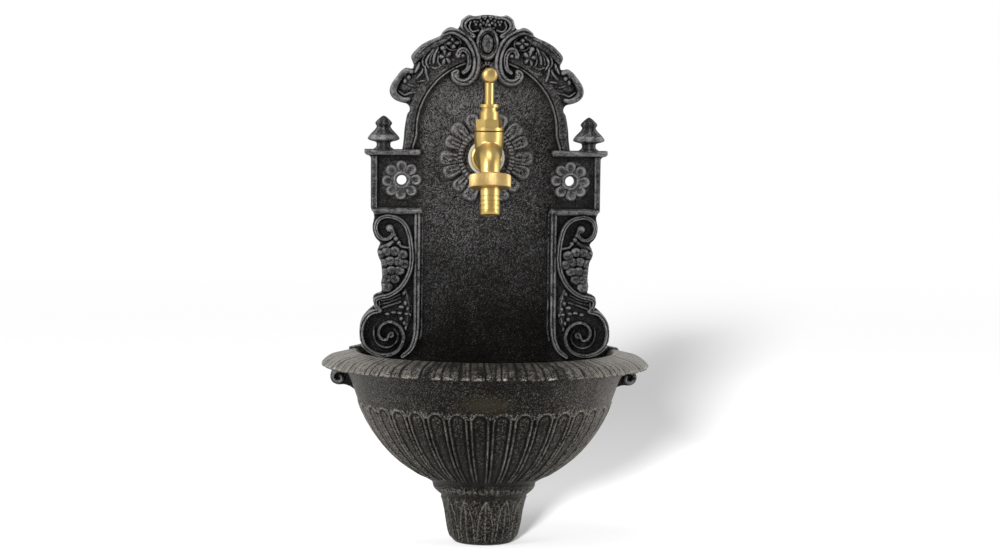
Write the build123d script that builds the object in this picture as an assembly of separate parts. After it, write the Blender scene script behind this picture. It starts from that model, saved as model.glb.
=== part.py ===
from build123d import *
import os
from math import ceil, cos, hypot, radians, sin

# A cast iron wall fountain with a brass hose tap, in millimetres.
# The origin lies midway between the two wall screw holes, on the wall plane.
# +X is to the right of someone facing it, +Y goes into the wall, +Z is up.
# Sketches of the plate are drawn in (x, z) and stood up on the XZ plane.

# Back plate: the casting's thickness
PLATE_DEPTH = 13.0        # wall plane to the plain field
WEB = 6.0                 # iron left over the hollow back
RELIEF_ROOT = 2.0         # how far each relief layer reaches into the field
JOIN = 2.0                # how far neighbouring shapes of the casting reach into each other

# Back plate: arch and shoulders
ARCH_R = 65.5
ARCH_Z = 40.0
FRAME_W = 9.0
FRAME_RISE = 3.5
BEAD_W = 2.6
BEAD_RISE = 5.0
SHOULDER_HALF = 92.0
SHOULDER_TOP = 24.5
SHOULDER_H = 48.5
LEDGE_OVER = 5.5          # how far the ledge stands out past the shoulder
LEDGE_H = 5.0
LEDGE_RISE = 6.0
PANEL_RIM = 4.0
PANEL_RISE = 2.5

# Back plate: wall screws and rosettes
HOLE_SPAN = 135.0
SCREW_HOLE_R = 4.0
SMALL_PETALS = 8
SMALL_RING_R = 11.0
SMALL_PETAL_R = 4.6
SMALL_RISE = 3.0
TAP_PETALS = 16
TAP_RING_R = 31.0
TAP_PETAL_R = 5.6
TAP_RISE = 3.0
TAP_COLLAR_R = 24.0
TAP_COLLAR_W = 6.0
TAP_COLLAR_RISE = 4.5

# Back plate: scroll brackets under the shoulders
RAIL_X = 55.3             # middle of the upright frame strip
RAIL_W = 4.4
RAIL_RISE = 3.5
RAIL_BOTTOM = -122.0
SCROLL_W = 4.0
SCROLL_RISE = 5.5
UPPER_VOLUTE = (-78.6, -39.5)
UPPER_VOLUTE_R = 10.0
LOWER_VOLUTE = (-79.5, -124.0)
LOWER_VOLUTE_R = 18.6
VOLUTE_EDGE = 1.3         # ground left around a volute
S_CURVE = ((-62.0, -37.0), (-59.6, -52.0), (-60.6, -70.0), (-67.0, -84.0), (-75.0, -91.5), (-86.0, -95.0))
BRACKET_X = 84.0          # outer edge of the ground behind the grapes
SHELF_X = 89.5
SHELF_Z = -98.3
SHELF_H = 9.5
SHELF_BAR = 4.0
GRAPE_R = 2.8
GRAPE_PITCH = 6.4
GRAPE_TOP = (-74.0, -57.0)
GRAPE_ROWS = (4, 3, 3, 2, 1)

# Back plate: crest, in shares of the arch's radius from the arch's centre (x, z)
CREST_LOBES = ((0.0, 1.206, 0.205), (0.214, 1.267, 0.125), (0.412, 1.115, 0.153),
               (0.679, 0.893, 0.208), (0.954, 0.656, 0.116), (0.998, 0.534, 0.186))
CARTOUCHE = (0.0, 1.050)
CARTOUCHE_HALF = (0.122, 0.177)
CARTOUCHE_BOSS = (0.052, 0.098)
CREST_SHELLS = ((-0.214, 1.30), (-0.107, 1.30), (0.0, 1.30), (0.107, 1.30), (0.214, 1.30))
SHELL_SIZE = 0.058
C_SCROLL = ((-0.299, 1.246), (-0.176, 1.038), (-0.147, 0.879), (-0.159, 0.757), (-0.229, 0.647),
            (-0.327, 0.620), (-0.388, 0.681))
FROND = ((-0.458, 1.099), (-0.641, 0.992), (-0.742, 0.840), (-0.724, 0.672))
LEAF = (-0.504, 0.901)
LEAF_HALF = (0.122, 0.061)
LEAF_TURN = 35.0
BUD = (-0.382, 1.069)
BUD_HALF = (0.092, 0.058)
BUD_TURN = 20.0
END_CURL = (-1.008, 0.544)
END_CURL_SIZE = 0.153
CARTOUCHE_RISE = 6.0
CARTOUCHE_RIM = 2.2
CREST_RISE = 4.5
SHELL_RISE = 3.0
LEAF_RISE = 3.5

# Finials on the shoulders
FINIAL_X = 82.2
FINIAL_SKIRT_R = 12.6
FINIAL_STEM_R = 5.6
FINIAL_BULB_R = 6.6
FINIAL_H = 26.5

# Bowl
BOWL_OFFSET = 12.0        # field to the bowl's axis
RIM_Z = -135.0            # crown of the rim
RIM_R = 131.0
RIM_CROWN_R = 105.5
RIM_DROP = 9.0
RIM_LIP = 8.0             # the outer part that bends down
RIM_EDGE = 3.2
BODY_TOP_R = 106.0
BODY_R = (98.4, 87.1, 68.9)
NECK_R = 44.5
BODY_DROP = 14.5
BODY_H = 90.0
BOWL_WALL = 6.5
RING_R = 40.0
RING_H = 7.5
FOOT_TOP_R = 33.0
FOOT_BOTTOM_R = 25.8
FOOT_H = 41.0
FOOT_WALL = 6.0
FLOOR_T = 8.0
DRAIN_R = 10.0
BACK_TOP_DROP = 15.0      # how far the bowl's back wall stays below the rim
FLUTES = 36
FLUTE_W = 2.4
FLUTE_DEPTH = 1.6
FLUTE_FROM = 0.32         # shares of the body's curve
FLUTE_TO = 0.93
FLUTE_STATIONS = 7

# Back plate behind the bowl
PLATE_INSET = 6.0
FOOT_GAP = 0.5
EAR_X = 117.0
EAR_DROP = 23.0
EAR_R = 6.8

# Bolts that hold the bowl
BOLT_X = 45.0
BOLT_DROP = 40.0
BOLT_R = 3.0
BOLT_CLEARANCE = 0.3
BOLT_HEAD_AF = 10.0
BOLT_HEAD_H = 4.0
BOLT_NUT_H = 4.6
BOLT_WASHER_R = 7.0
STEEL_WASHER_T = 1.0
RUBBER_WASHER_T = 1.5

# Tap: inlet side
TAP_Z = 18.5
INLET_R = 10.4            # half inch pipe thread
INLET_TAIL = 13.0         # free thread behind the backnut
INLET_NECK_R = 10.2       # inside the plate and the backnut
INLET_BORE_R = 4.6
THREAD_CLEARANCE = 0.1
WALL_WASHER_R = 14.6
WALL_WASHER_T = 2.4
INLET_FLANGE_R = 12.6
INLET_FLANGE_T = 3.0
BARREL_R = 9.4
BACKNUT_AF = 27.0
BACKNUT_T = 5.0
BACKNUT_WASHER_R = 16.0
BACKNUT_WASHER_T = 1.0

# Tap: valve chamber and spindle
SPINDLE_OFFSET = 37.0     # field to the spindle's axis
CHAMBER_R = 11.75
CHAMBER_BORE_R = 9.0
CHAMBER_TOP_H = 21.0      # above the inlet's axis
CHAMBER_BOTTOM_H = 10.5   # below the inlet's axis
SEAT_H = 6.5
SEAT_BORE_R = 4.6
GASKET_T = 1.0
BONNET_FLANGE_T = 2.4
BONNET_HEX_AF = 18.5
BONNET_HEX_H = 6.4
BONNET_TOP_R = 7.5
BONNET_TOP_H = 6.2
STUFFING_DEPTH = 4.5
PACKING_T = 2.2
GLAND_R = 5.9
GLAND_NECK_H = 2.0
GLAND_CAP_R = 7.6
GLAND_CAP_H = 3.8
SPINDLE_R = 3.65
SPINDLE_THREAD_R = 5.0
SPINDLE_THREAD_L = 7.0
SPINDLE_TOP_H = 64.9      # bar's axis above the inlet's axis
SPINDLE_HEAD_R = 5.3
RUN_CLEARANCE = 0.06
SPINDLE_PITCH = 2.2
SPINDLE_TURNS = 2.75

# Tap: jumper valve
JUMPER_R = 6.8
JUMPER_T = 1.8
JUMPER_STEM_R = 2.2
JUMPER_STEM_H = 5.0
JUMPER_WASHER_T = 2.5
JUMPER_SPIGOT_R = 1.5
JUMPER_NUT_R = 2.8
JUMPER_NUT_T = 2.0

# Tap: handle
BAR_R = 2.6
BAR_HALF = 23.0           # spindle's axis to each ball's middle
BALL_R = 6.1
BALL_FLAT_R = 4.4
FIT_GAP = 0.01

# Tap: spout and hose union
SPOUT_R = 7.75
SPOUT_BORE_R = 4.6
SPOUT_START_H = 10.0      # above the inlet's axis
SPOUT_DROP = 35.0         # degrees below level where it leaves the chamber
NOSE_TILT = 10.0          # degrees from plumb at the hose union
SPOUT_RUN = 16.0
BEND_R = 20.0
UNION_R = 13.0            # three quarter inch pipe thread
UNION_THREAD_L = 5.5
UNION_WASHER_T = 1.5
TAIL_FLANGE_R = 12.4
TAIL_FLANGE_T = 1.5
TAIL_R = 7.8
TAIL_ROOT_R = 7.15
TAIL_BORE_R = 5.0
TAIL_STEP = 0.3
TAIL_PLAIN_L = 3.4
TAIL_BARBS = 4
BARB_LAND = 1.0
BARB_SLOPE = 2.7
UNION_NUT_R = 16.3
UNION_LIP_T = 2.0
UNION_LIP_GAP = 0.4
UNION_FACE_GAP = 0.05

# Values that follow from the sizes above
FRONT = (0, -1, 0)
FIELD_Y = -PLATE_DEPTH
WEB_BACK_Y = WEB - PLATE_DEPTH
BOWL_Y = FIELD_Y - BOWL_OFFSET
BODY_BOTTOM_Z = RIM_Z - BODY_DROP - BODY_H
STEP_Z = BODY_BOTTOM_Z - 1.0
RING_BOTTOM_Z = STEP_Z - RING_H
FOOT_BOTTOM_Z = RING_BOTTOM_Z - FOOT_H
SHOULDER_BOTTOM = SHOULDER_TOP - SHOULDER_H
BOLT_Z = RIM_Z - BOLT_DROP
BACK_WALL_Y = FIELD_Y - BOWL_WALL
SPINDLE_Y = FIELD_Y - SPINDLE_OFFSET
SEAT_Z = TAP_Z + SEAT_H
LIFT = SPINDLE_PITCH * SPINDLE_TURNS
DISC_TOP_Z = SEAT_Z + JUMPER_WASHER_T + JUMPER_T
SKIRT_BOTTOM_Z = DISC_TOP_Z + LIFT + 0.8
CHAMBER_TOP_Z = TAP_Z + CHAMBER_TOP_H
BONNET_BOTTOM_Z = CHAMBER_TOP_Z + GASKET_T
BONNET_HEX_Z = BONNET_BOTTOM_Z + BONNET_FLANGE_T
BONNET_TOP_Z = BONNET_HEX_Z + BONNET_HEX_H
STUFFING_TOP_Z = BONNET_TOP_Z + BONNET_TOP_H
STUFFING_Z = STUFFING_TOP_Z - STUFFING_DEPTH
GLAND_CAP_Z = STUFFING_TOP_Z + GLAND_NECK_H
THREAD_BOTTOM_Z = SKIRT_BOTTOM_Z - 1.2
THREAD_TOP_Z = THREAD_BOTTOM_Z + SPINDLE_THREAD_L
THREAD_BORE_TOP_Z = THREAD_TOP_Z + LIFT + 0.5
BAR_Z = TAP_Z + SPINDLE_TOP_H
SPINDLE_BORE_R = SPINDLE_R + RUN_CLEARANCE


def rectangle(x0, z0, x1, z1):
    """A rectangle between two corners of a sketch."""
    return Pos((x0 + x1) / 2, (z0 + z1) / 2) * Rectangle(abs(x1 - x0), abs(z1 - z0))


def disc(x, z, radius):
    return Pos(x, z) * Circle(radius)


def both_sides(half):
    """A sketch joined to its mirror image across the plate's middle."""
    return half + mirror(half, about=Plane.YZ)


def joined(shapes):
    """The union of several sketches."""
    total = shapes[0]
    for shape in shapes[1:]:
        total = total + shape
    return total


def stroke(points, width):
    """A curved strip of one width with round ends."""
    strip = trace(Spline(*points), line_width=width)
    return strip + disc(*points[0], width / 2) + disc(*points[-1], width / 2)


def spiral_points(center, r_start, r_end, start_deg, turns, hand=1, count=26):
    """Points along a spiral that shrinks evenly as it turns."""
    points = []
    for step in range(count):
        part = step / (count - 1)
        radius = r_start * (r_end / r_start) ** part
        angle = radians(start_deg + hand * 360 * turns * part)
        points.append((center[0] + radius * cos(angle), center[1] + radius * sin(angle)))
    return points


def ring_of_discs(center, ring_r, count, radius):
    """Petals set around a circle."""
    petals = []
    for step in range(count):
        angle = radians(90 + 360 * step / count)
        petals.append(disc(center[0] + ring_r * cos(angle), center[1] + ring_r * sin(angle), radius))
    return joined(petals)


def raised(sketch, rise):
    """A relief layer that stands up from the plate's field."""
    return extrude(Plane.XZ.offset(PLATE_DEPTH - RELIEF_ROOT) * sketch, amount=rise + RELIEF_ROOT, dir=FRONT)


def rod_y(x, z, radius, y_back, y_front):
    """A round rod along Y."""
    return Pos(x, (y_back + y_front) / 2, z) * Rot(90, 0, 0) * Cylinder(radius, abs(y_back - y_front))


def rod_z(radius, z_low, z_high, y=None):
    """A round rod on the spindle's axis, or on another upright axis."""
    axis_y = SPINDLE_Y if y is None else y
    return Pos(0, axis_y, (z_low + z_high) / 2) * Cylinder(radius, z_high - z_low)


def hexagon_y(x, z, across_flats, y_back, y_front):
    """A hexagon bar along Y."""
    face = Plane.XZ.offset(-y_back) * Pos(x, z) * RegularPolygon(across_flats / 2, 6, major_radius=False)
    return extrude(face, amount=y_back - y_front, dir=FRONT)


def turned(points, y):
    """A solid of revolution about an upright axis, from (radius, z) corners."""
    face = Plane.XZ * make_face(Polyline(*points, close=True))
    return Pos(0, y, 0) * revolve(face, axis=Axis.Z)


# Bowl profile, shared by the bowl and by the plate behind it
def body_points(inset=0.0):
    """Stations down the bowl's body, moved inwards square to its surface."""
    radii = (BODY_TOP_R, *BODY_R, NECK_R)
    shares = (0.0, 0.366, 0.594, 0.817, 1.0)
    outside = [(r, RIM_Z - BODY_DROP - BODY_H * share) for r, share in zip(radii, shares)]
    moved = []
    for index, (r, z) in enumerate(outside):
        before = outside[max(index - 1, 0)]
        after = outside[min(index + 1, len(outside) - 1)]
        run, fall = after[0] - before[0], after[1] - before[1]
        length = hypot(run, fall)
        moved.append((r + inset * fall / length, z - inset * run / length))
    return moved


def shell_face(inset, floor_z):
    """Half section of the bowl's body and rim hollow, down to one level."""
    points = body_points(inset)
    top = points[0]
    low = points[-1]
    side = Spline(*points)
    edges = side + Polyline(low, (low[0], floor_z), (0, floor_z), (0, top[1]), top)
    return make_face(edges)


def rim_face():
    """Half section of the sloping leaf rim with its crown."""
    edge_z = RIM_Z - RIM_DROP
    top = body_points()[0]
    corners = (
        (BODY_TOP_R - BOWL_WALL, top[1]),
        (BODY_TOP_R - BOWL_WALL, RIM_Z - 2.0),
        (RIM_CROWN_R - 2.0, RIM_Z),
        (RIM_CROWN_R + 0.5, RIM_Z),
        (RIM_R - RIM_LIP, RIM_Z - 0.45 * RIM_DROP),
        (RIM_R, edge_z),
        (RIM_R - 0.8, edge_z - RIM_EDGE),
        (BODY_TOP_R, top[1]),
    )
    return make_face(Polyline(*corners, close=True))


def spun(face):
    """A half section turned about the bowl's axis."""
    return Pos(0, BOWL_Y, 0) * revolve(Plane.XZ * face, axis=Axis.Z)


def foot_face(inset=0.0):
    """Half section of the ring and foot, or of the hollow inside them."""
    top = RING_BOTTOM_Z if inset else STEP_Z
    corner = 3.0
    if inset:
        wall = [(FOOT_TOP_R - inset, top), (FOOT_BOTTOM_R - inset, FOOT_BOTTOM_Z)]
    else:
        wall = [
            (RING_R - 1.0, top),
            (RING_R, top - 1.5),
            (RING_R, RING_BOTTOM_Z + 1.5),
            (RING_R - 1.5, RING_BOTTOM_Z),
            (FOOT_TOP_R, RING_BOTTOM_Z - 1.0),
            (FOOT_BOTTOM_R + 1.5, FOOT_BOTTOM_Z + 2.5 * corner),
            (FOOT_BOTTOM_R, FOOT_BOTTOM_Z + corner),
            (FOOT_BOTTOM_R - corner, FOOT_BOTTOM_Z),
        ]
    return make_face(Polyline((0, top), *wall, (0, FOOT_BOTTOM_Z), close=True))


def flute_blade():
    """A thin upright blade along the body's outside, which cuts one groove."""
    curve = Spline(*body_points())
    inner, outer = [], []
    for step in range(FLUTE_STATIONS):
        share = FLUTE_FROM + (FLUTE_TO - FLUTE_FROM) * step / (FLUTE_STATIONS - 1)
        place, along = curve @ share, curve % share
        outward = Vector(-along.Y, along.X)
        inner.append(place - outward * FLUTE_DEPTH)
        outer.append(place + outward * 2 * FLUTE_DEPTH)
    section = Spline(*inner) + Polyline(inner[-1], *reversed(outer), inner[0])
    return extrude(Plane.XZ * make_face(section), amount=FLUTE_W / 2, both=True)


def flute_cutters():
    """The blade repeated around the front half of the bowl, from the middle to both sides."""
    blade = flute_blade()
    pitch = 360 / FLUTES
    last = ceil(FLUTES / 4) - 1
    cutters = []
    for step in range(-last, last + 1):
        cutters.append(Pos(0, BOWL_Y, 0) * Rot(0, 0, pitch * step - 90) * blade)
    return cutters


def bowl():
    floor_z = STEP_Z + FLOOR_T
    hollow = spun(shell_face(BOWL_WALL, floor_z))
    solid_body = spun(shell_face(0.0, STEP_Z))
    outside = solid_body + spun(foot_face())
    shell = outside - hollow - spun(foot_face(FOOT_WALL)) + spun(rim_face())
    back_top_z = RIM_Z - BACK_TOP_DROP
    wide = 2 * RIM_R
    back_slab = Pos(0, FIELD_Y - BOWL_WALL / 2, (back_top_z + STEP_Z) / 2) * Box(
        wide, BOWL_WALL, back_top_z - STEP_Z)
    foot_slab = Pos(0, -FOOT_WALL / 2, (STEP_Z + FOOT_BOTTOM_Z) / 2) * Box(
        wide, FOOT_WALL, STEP_Z - FOOT_BOTTOM_Z)
    shell = shell + (outside & back_slab) + (outside & foot_slab)
    behind_plate = Pos(0, FIELD_Y + wide / 2, STEP_Z + wide / 2) * Box(2 * wide, wide, wide)
    behind_wall = Pos(0, wide / 2, STEP_Z) * Box(2 * wide, wide, 2 * wide)
    shell = shell - behind_plate - behind_wall
    shell = shell - flute_cutters()
    shell = shell - rod_z(DRAIN_R, FOOT_BOTTOM_Z, floor_z + 1.0, y=BOWL_Y)
    for x in (-BOLT_X, BOLT_X):
        shell = shell - rod_y(x, BOLT_Z, BOLT_R + BOLT_CLEARANCE, 0, BACK_WALL_Y - 1.0)
    return shell


# Back plate
def lower_outline():
    """The part behind the bowl: it follows the body and carries the scroll ears."""
    points = body_points(PLATE_INSET)
    bottom_z = STEP_Z + FOOT_GAP
    top_z = RIM_Z + 1.5
    wide = [(r, max(z, bottom_z)) for r, z in points[:-1]]
    edge_r = points[-1][0] - 2.0
    side = Spline(*wide, (edge_r, bottom_z))
    shoulder = Polyline((edge_r, bottom_z), (0, bottom_z), (0, top_z), (wide[0][0], top_z), wide[0])
    ear_z = RIM_Z - EAR_DROP
    ear = disc(EAR_X, ear_z, EAR_R)
    arm = make_face(Polyline((wide[0][0] - 12, top_z), (wide[0][0] + 12, top_z - 3.0),
                             (EAR_X + 4.5, ear_z + 5.0), (EAR_X - 2.0, ear_z - EAR_R + 0.4),
                             (wide[0][0] - 6.0, ear_z - 12.0), close=True))
    return both_sides(make_face(side + shoulder) + ear + arm)


def bracket_silhouette():
    """The ground of one scroll bracket, left of the upright strip."""
    inner_x = -RAIL_X
    shelf = (SHELF_Z - SHELF_H / 2, SHELF_Z + SHELF_H / 2)
    shapes = [
        rectangle(inner_x, SHOULDER_BOTTOM + JOIN, UPPER_VOLUTE[0], LOWER_VOLUTE[1]),
        disc(*UPPER_VOLUTE, UPPER_VOLUTE_R + VOLUTE_EDGE),
        disc(*LOWER_VOLUTE, LOWER_VOLUTE_R + VOLUTE_EDGE),
        rectangle(inner_x, UPPER_VOLUTE[1], UPPER_VOLUTE[0] - UPPER_VOLUTE_R, SHOULDER_BOTTOM + JOIN),
        rectangle(inner_x, shelf[0], -SHELF_X, shelf[1]),
        rectangle(inner_x, SHELF_Z, -BRACKET_X, UPPER_VOLUTE[1]),
    ]
    return joined(shapes)


def crest_point(share):
    """A point of the crest from its shares of the arch's radius."""
    return (share[0] * ARCH_R, ARCH_Z + share[1] * ARCH_R)


def filled(sketch):
    """A sketch without the gaps that its shapes leave inside it."""
    return Sketch() + [Face(face.outer_wire()) for face in sketch.faces()]


def plate_outline():
    arch = disc(0, ARCH_Z, ARCH_R) + rectangle(-ARCH_R, ARCH_Z, ARCH_R, SHOULDER_TOP - JOIN)
    shoulders = rectangle(-SHOULDER_HALF, SHOULDER_BOTTOM, SHOULDER_HALF, SHOULDER_TOP)
    ledge_x = SHOULDER_HALF + LEDGE_OVER
    ledge = rectangle(-ledge_x, SHOULDER_TOP - LEDGE_H, ledge_x, SHOULDER_TOP)
    field = rectangle(-RAIL_X - JOIN, BOLT_Z, RAIL_X + JOIN, SHOULDER_BOTTOM + JOIN)
    lobes = joined([disc(*crest_point((x, z)), size * ARCH_R) for x, z, size in CREST_LOBES])
    return filled(joined([arch, shoulders, ledge, field, both_sides(lobes),
                          both_sides(bracket_silhouette()), lower_outline()]))


def frame_relief():
    """Arch moulding with its bead line, ledges, panel rims and upright strips."""
    inner_r = ARCH_R - FRAME_W
    leg_bottom = SHOULDER_TOP - LEDGE_H
    upper_half = rectangle(-ARCH_R, ARCH_Z, ARCH_R, ARCH_Z + ARCH_R)
    half_ring = (disc(0, ARCH_Z, ARCH_R) - disc(0, ARCH_Z, inner_r)) & upper_half
    moulding = half_ring + both_sides(rectangle(-ARCH_R, leg_bottom, -inner_r, ARCH_Z))
    bead_ring = (disc(0, ARCH_Z, inner_r + BEAD_W) - disc(0, ARCH_Z, inner_r)) & upper_half
    bead = bead_ring + both_sides(rectangle(-inner_r - BEAD_W, leg_bottom, -inner_r, ARCH_Z))
    outer_x = -SHOULDER_HALF - LEDGE_OVER
    ledge = both_sides(rectangle(outer_x, leg_bottom, -inner_r, SHOULDER_TOP))
    rim = both_sides(
        rectangle(-SHOULDER_HALF, SHOULDER_BOTTOM, -SHOULDER_HALF + PANEL_RIM, leg_bottom)
        + rectangle(-SHOULDER_HALF, SHOULDER_BOTTOM, -RAIL_X, SHOULDER_BOTTOM + PANEL_RIM))
    strip = both_sides(rectangle(-RAIL_X - RAIL_W / 2, RAIL_BOTTOM, -RAIL_X + RAIL_W / 2, SHOULDER_BOTTOM + JOIN))
    return [raised(moulding, FRAME_RISE), raised(bead, BEAD_RISE), raised(ledge, LEDGE_RISE),
            raised(rim, PANEL_RISE), raised(strip, RAIL_RISE)]


def rosette_relief():
    """Petals around the tap and around the two wall screw holes."""
    tap = ring_of_discs((0, TAP_Z), TAP_RING_R, TAP_PETALS, TAP_PETAL_R)
    collar = disc(0, TAP_Z, TAP_COLLAR_R) - disc(0, TAP_Z, TAP_COLLAR_R - TAP_COLLAR_W)
    small = ring_of_discs((-HOLE_SPAN / 2, 0), SMALL_RING_R, SMALL_PETALS, SMALL_PETAL_R)
    small = small + disc(-HOLE_SPAN / 2, 0, SMALL_RING_R)
    return [raised(tap, TAP_RISE), raised(collar, TAP_COLLAR_RISE), raised(both_sides(small), SMALL_RISE)]


def bracket_relief():
    """S scrolls, volutes, shelf and grapes of the two brackets."""
    upper = spiral_points(UPPER_VOLUTE, UPPER_VOLUTE_R - 1.0, 2.0, 20, 1.25, hand=1)
    lower = spiral_points(LOWER_VOLUTE, LOWER_VOLUTE_R - 1.0, 3.0, 130, 1.45, hand=1)
    shelf_low = SHELF_Z - SHELF_H / 2
    shelf = rectangle(-SHELF_X, shelf_low, S_CURVE[3][0], shelf_low + SHELF_BAR)
    scrolls = joined([stroke(upper, SCROLL_W - 0.8), stroke([upper[0], *S_CURVE], SCROLL_W),
                      stroke(lower, SCROLL_W - 0.4), shelf])
    solids = [raised(both_sides(scrolls), SCROLL_RISE)]
    for row, count in enumerate(GRAPE_ROWS):
        z = GRAPE_TOP[1] - row * GRAPE_PITCH
        for place in range(count):
            x = GRAPE_TOP[0] + (place - (count - 1) / 2) * GRAPE_PITCH
            for side in (x, -x):
                solids.append(Pos(side, FIELD_Y, z) * Sphere(GRAPE_R))
    return solids


def oval(share, half, turn=0.0, rim=0.0):
    """An ellipse on the crest, with its half sizes cut by a rim."""
    place = Pos(*crest_point(share)) * Rot(0, 0, turn)
    return place * Ellipse(half[0] * ARCH_R - rim, half[1] * ARCH_R - rim)


def crest_relief():
    """Cartouche, C scrolls, fronds and end curls."""
    sunk = oval(CARTOUCHE, CARTOUCHE_HALF, rim=CARTOUCHE_RIM) - oval(CARTOUCHE, CARTOUCHE_BOSS)
    shells = joined([disc(*crest_point(share), SHELL_SIZE * ARCH_R) for share in CREST_SHELLS])
    curl_r = END_CURL_SIZE * ARCH_R
    curl = spiral_points(crest_point(END_CURL), curl_r, 0.34 * curl_r, 60, 1.2, hand=-1)
    scrolls = [stroke([crest_point(share) for share in line], SCROLL_W) for line in (C_SCROLL, FROND)]
    half = joined([*scrolls, stroke(curl, SCROLL_W - 0.6)])
    leaves = oval(LEAF, LEAF_HALF, LEAF_TURN) + oval(BUD, BUD_HALF, BUD_TURN)
    return [raised(oval(CARTOUCHE, CARTOUCHE_HALF) - sunk, CARTOUCHE_RISE), raised(shells, SHELL_RISE),
            raised(both_sides(half), CREST_RISE), raised(both_sides(leaves), LEAF_RISE)]


def finials():
    """A turned finial on each shoulder, half sunk in the plate's depth."""
    base = SHOULDER_TOP - JOIN
    high = FINIAL_H + JOIN
    section = [(0, base), (FINIAL_STEM_R + 1.5, base), (FINIAL_STEM_R, base + 0.26 * high),
               (FINIAL_SKIRT_R, base + 0.40 * high), (FINIAL_SKIRT_R - 1.5, base + 0.50 * high),
               (FINIAL_BULB_R - 0.8, base + 0.68 * high), (FINIAL_BULB_R, base + 0.82 * high),
               (FINIAL_BULB_R - 2.4, base + 0.96 * high), (0, base + high)]
    return [Pos(side, 0, 0) * turned(section, FIELD_Y) for side in (-FINIAL_X, FINIAL_X)]


def back_plate():
    base = extrude(Plane.XZ * plate_outline(), amount=PLATE_DEPTH, dir=FRONT)
    reliefs = frame_relief() + rosette_relief() + bracket_relief() + crest_relief() + finials()
    plate = base + reliefs
    pocket_half = HOLE_SPAN / 2 - SCREW_HOLE_R - 4.0
    pocket_top = ARCH_R - FRAME_W
    pocket = rectangle(-pocket_half, BOLT_Z - 3 * BOLT_WASHER_R, pocket_half, ARCH_Z) + disc(0, ARCH_Z, pocket_top)
    plate = plate - extrude(Plane.XZ * pocket, amount=PLATE_DEPTH - WEB, dir=FRONT)
    plate = plate - rod_y(0, TAP_Z, INLET_R + 3 * THREAD_CLEARANCE, 1.0, FIELD_Y - 1.0)
    for x in (-HOLE_SPAN / 2, HOLE_SPAN / 2):
        plate = plate - rod_y(x, 0, SCREW_HOLE_R, 1.0, FIELD_Y - SMALL_RISE - 1.0)
    for x in (-BOLT_X, BOLT_X):
        plate = plate - rod_y(x, BOLT_Z, BOLT_R + BOLT_CLEARANCE, 1.0, FIELD_Y - 1.0)
    return plate


# Fasteners of the bowl
def bolt_set(make):
    """One solid at each bolt, as a group."""
    return Compound(children=[make(x) for x in (-BOLT_X, BOLT_X)])


def washer_y(x, z, outer_r, inner_r, y_back, y_front):
    return rod_y(x, z, outer_r, y_back, y_front) - rod_y(x, z, inner_r, y_back + 1, y_front - 1)


RUBBER_FRONT_Y = BACK_WALL_Y - RUBBER_WASHER_T
HEAD_Y = RUBBER_FRONT_Y - STEEL_WASHER_T
NUT_Y = WEB_BACK_Y + STEEL_WASHER_T


def bowl_bolt(x):
    head = hexagon_y(x, BOLT_Z, BOLT_HEAD_AF, HEAD_Y, HEAD_Y - BOLT_HEAD_H)
    return head + rod_y(x, BOLT_Z, BOLT_R, NUT_Y + BOLT_NUT_H + 0.3, HEAD_Y - 1.0)


def bowl_seal_washer(x):
    return washer_y(x, BOLT_Z, BOLT_WASHER_R, BOLT_R + FIT_GAP, BACK_WALL_Y, RUBBER_FRONT_Y)


def bowl_head_washer(x):
    return washer_y(x, BOLT_Z, BOLT_WASHER_R - 0.6, BOLT_R + FIT_GAP, RUBBER_FRONT_Y, HEAD_Y)


def bowl_nut_washer(x):
    return washer_y(x, BOLT_Z, BOLT_WASHER_R - 0.6, BOLT_R + FIT_GAP, NUT_Y, WEB_BACK_Y)


def bowl_nut(x):
    blank = hexagon_y(x, BOLT_Z, BOLT_HEAD_AF, NUT_Y + BOLT_NUT_H, NUT_Y)
    return blank - rod_y(x, BOLT_Z, BOLT_R + FIT_GAP, NUT_Y + BOLT_NUT_H + 1, NUT_Y - 1)


# Tap: how it is held to the plate
INLET_FLANGE_Y = FIELD_Y - WALL_WASHER_T
BACKNUT_Y = WEB_BACK_Y + BACKNUT_WASHER_T
BACKNUT_BACK_Y = BACKNUT_Y + BACKNUT_T


def tap_wall_washer():
    return washer_y(0, TAP_Z, WALL_WASHER_R, INLET_NECK_R + THREAD_CLEARANCE, FIELD_Y, INLET_FLANGE_Y)


def backnut_washer():
    return washer_y(0, TAP_Z, BACKNUT_WASHER_R, INLET_NECK_R + THREAD_CLEARANCE, BACKNUT_Y, WEB_BACK_Y)


def backnut():
    blank = hexagon_y(0, TAP_Z, BACKNUT_AF, BACKNUT_BACK_Y, BACKNUT_Y)
    return blank - rod_y(0, TAP_Z, INLET_NECK_R + FIT_GAP, BACKNUT_BACK_Y + 1, BACKNUT_Y - 1)


# Tap: spout line, shared by the body and by the hose union
def spout_line():
    """Line from the chamber, a bend, and the point and direction where the union starts."""
    start = Vector(0, SPINDLE_Y, TAP_Z + SPOUT_START_H)
    drop, steep = radians(SPOUT_DROP), radians(90 - NOSE_TILT)
    leave = Vector(0, -cos(drop), -sin(drop))
    nose = Vector(0, -cos(steep), -sin(steep))
    bend = start + leave * SPOUT_RUN
    end = bend + Vector(0, -BEND_R * (sin(steep) - sin(drop)), -BEND_R * (cos(drop) - cos(steep)))
    return start, bend, end, leave, nose


NOSE_START, NOSE_AXIS = spout_line()[2], spout_line()[4]
NOSE_PLANE = Plane(origin=NOSE_START, x_dir=(1, 0, 0), z_dir=NOSE_AXIS)


def nose_rod(radius, s_low, s_high):
    """A round rod on the hose union's axis, placed by distance from the bend."""
    return NOSE_PLANE * Pos(0, 0, (s_low + s_high) / 2) * Cylinder(radius, s_high - s_low)


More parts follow.
